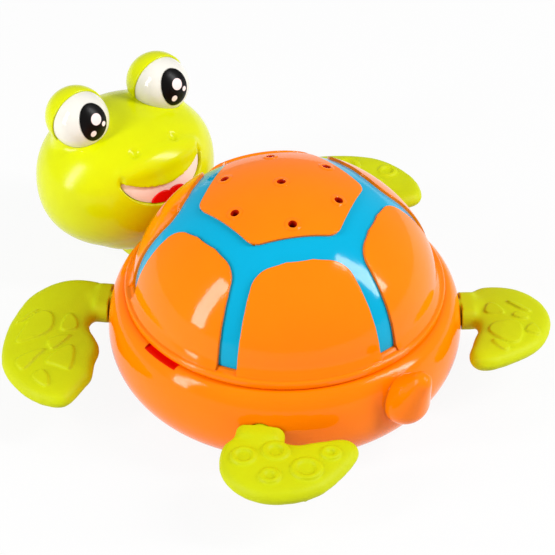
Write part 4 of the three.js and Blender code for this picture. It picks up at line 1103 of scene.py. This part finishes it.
fin_finish, place, tone, roughness, skin = vinyl_finish(
    "lime_flipper_vinyl", FIN_LIME, DEEP_FIN_LIME, roughness=0.42, grain_size=0.5, grain_strength=0.3
)
coated(place, tone, roughness, skin, IOR=1.46, Specular_IOR_Level=0.2)
for name, turn in FLIPPER_TURNS.items():
    kind, hand = name.split("_")
    side = 1 if hand == "left" else -1
    tilt, *setting = FIN_SETTING[name]
    outline = flowing([fin_place(*point, side, *setting) for point in FIN_OUTLINE[kind]])
    shaft = moved(rod(SHAFT_RADIUS, SHAFT_START, HEEL_FRONT, 48), turn_about("Y", 90))
    root = turned([(radius, FIN_ROOT + run) for radius, run in ROOT_PROFILE], 48)
    moved(root, Matrix.Diagonal((ROOT_FLATNESS, 1, 1, 1)), turn_about("Y", 90))
    heel = [block((HEEL_BACK, -HEEL_SPREAD, -HEEL_RADIUS), (HEEL_FRONT, HEEL_SPREAD, HEEL_RADIUS))]
    for offset in (HEEL_SPREAD, -HEEL_SPREAD):
        end = [(0, HEEL_BACK), (HEEL_RADIUS, HEEL_BACK), (HEEL_RADIUS, HEEL_FRONT), (0, HEEL_NOSE)]
        heel.append(moved(turned(end, 40), turn_about("Y", 90), shift(0, offset, 0)))
    paddle = cast(gathered([cushion(outline), root, *heel]), *PADDLE_CAST)
    hull_room = ball((BULGE_RADIUS + ROOT_GAP,) * 3, (0, 0, 0), 160, 120)
    paddle = joined(paddle, [hull_room], "DIFFERENCE")
    reliefs = []
    wedge_face = 1 if name in WEDGES_UP else -1
    for drawing in FIN_WEDGES[kind]:
        corners = flowing([fin_place(*point, side, *setting) for point in drawing])
        reliefs.append(raised_wedge(corners, outline, wedge_face))
    for along, across, outer, inner in FIN_RINGS[kind]:
        x, y = fin_place(along, across, side, *setting)
        lift = fullness(x, y, outline)
        low, high = lift - RELIEF_ROOT, lift + RELIEF
        outer, inner = outer * RING_SCALE, inner * RING_SCALE
        ring = [(inner, low), (outer, low), (outer, high - RING_ROUND), (outer - RING_ROUND, high)]
        ring += [(inner + RING_ROUND, high), (inner, high - RING_ROUND), (inner, low)]
        face_turn = turn_about("X", 0 if wedge_face < 0 else 180)
        reliefs.append(moved(turned(ring, 40), face_turn, shift(x, y, 0)))
    fin = cast(gathered([paddle, shaft] + reliefs), *FIN_CAST)
    moved(fin, turn_about("X", side * tilt), turn_about("Z", turn), shift(0, 0, STEM_HEIGHT))
    body = "flipper_" + name
    finished(body, fin, fin_finish, body, "flippers", "fin_" + name, crease=60)


# Studio: a white paper sweep in even light, with two tall soft boxes at the sides of the camera. The
# paper shows white wherever it is looked at and keeps the toy's shadow. Sizes here are in metres.
FLOOR_HALF = 6.0
FLOOR_GLOW = 0.92
PAPER = (0.72, 0.72, 0.72, 1)
WHITE = (1, 1, 1, 1)
SKY_STRENGTH = 0.38
TARGET = Vector((0.000941, -0.00311, 0.040198))
BOX_DISTANCE = 1.2
SOFT_BOXES = (
    ("left_box", (0.89, -0.22, 0.41), (0.22, 0.95), 12.0),
    ("right_box", (-0.5, 0.56, 0.6), (0.22, 0.9), 14.0),
)
CAMERA_AZIMUTH = 139.5
CAMERA_ELEVATION = 38.586
CAMERA_PLACE = (0.40706, 0.47240, 0.53915)
CAMERA_LENS = 138.234
CAMERA_SENSOR = 36.0
CAMERA_RANGE = 100.0


def open_to_view(recipe):
    """1 where the paper is looked at, straight, in a reflection or through something clear, else 0."""
    path = recipe.step("ShaderNodeLightPath", output="Is Camera Ray")
    return path + path.output("Is Glossy Ray") + path.output("Is Transmission Ray") > 0.5


floor_mesh = bpy.data.meshes.new("floor")
sweep = bmesh.new()
bmesh.ops.create_grid(sweep, x_segments=4, y_segments=4, size=FLOOR_HALF)
sweep.to_mesh(floor_mesh)
sweep.free()
floor = bpy.data.objects.new("floor", floor_mesh)
bpy.context.scene.collection.objects.link(floor)
floor_finish, place = new_finish("white_paper")
paper = place.step("ShaderNodeBsdfDiffuse", {}, {"Color": PAPER})
glow = place.step("ShaderNodeEmission", {}, {"Color": WHITE, "Strength": 1.0})
lit = place.step("ShaderNodeMixShader", {}, {0: open_to_view(place) * FLOOR_GLOW, 1: paper, 2: glow})
place.step("ShaderNodeOutputMaterial", {}, {"Surface": lit})
floor_mesh.materials.append(floor_finish)

world = bpy.data.worlds.new("studio")
world.use_nodes = True
world.node_tree.nodes.clear()
air = Recipe(world.node_tree)
sky = air.step("ShaderNodeBackground", {}, {"Color": WHITE, "Strength": SKY_STRENGTH})
air.step("ShaderNodeOutputWorld", {}, {"Surface": sky})
bpy.context.scene.world = world

for name, aim, (width, height), power in SOFT_BOXES:
    lamp = bpy.data.lights.new(name, "AREA")
    lamp.shape = "RECTANGLE"
    lamp.size = width
    lamp.size_y = height
    lamp.energy = power
    light = bpy.data.objects.new(name, lamp)
    aim = Vector(aim).normalized()
    light.location = TARGET + aim * BOX_DISTANCE
    light.rotation_euler = aim.to_track_quat("Z", "Y").to_euler()
    bpy.context.scene.collection.objects.link(light)

azimuth, elevation = math.radians(CAMERA_AZIMUTH), math.radians(CAMERA_ELEVATION)
level = math.cos(elevation)
back = Vector((math.sin(azimuth) * level, -math.cos(azimuth) * level, math.sin(elevation)))
lens = bpy.data.cameras.new("photo_camera")
lens.lens = CAMERA_LENS
lens.sensor_width = CAMERA_SENSOR
lens.clip_end = CAMERA_RANGE
camera = bpy.data.objects.new("photo_camera", lens)
camera.location = CAMERA_PLACE
camera.rotation_euler = back.to_track_quat("Z", "Y").to_euler()
bpy.context.scene.collection.objects.link(camera)
bpy.context.scene.camera = camera
bpy.context.scene.view_settings.view_transform = "Standard"
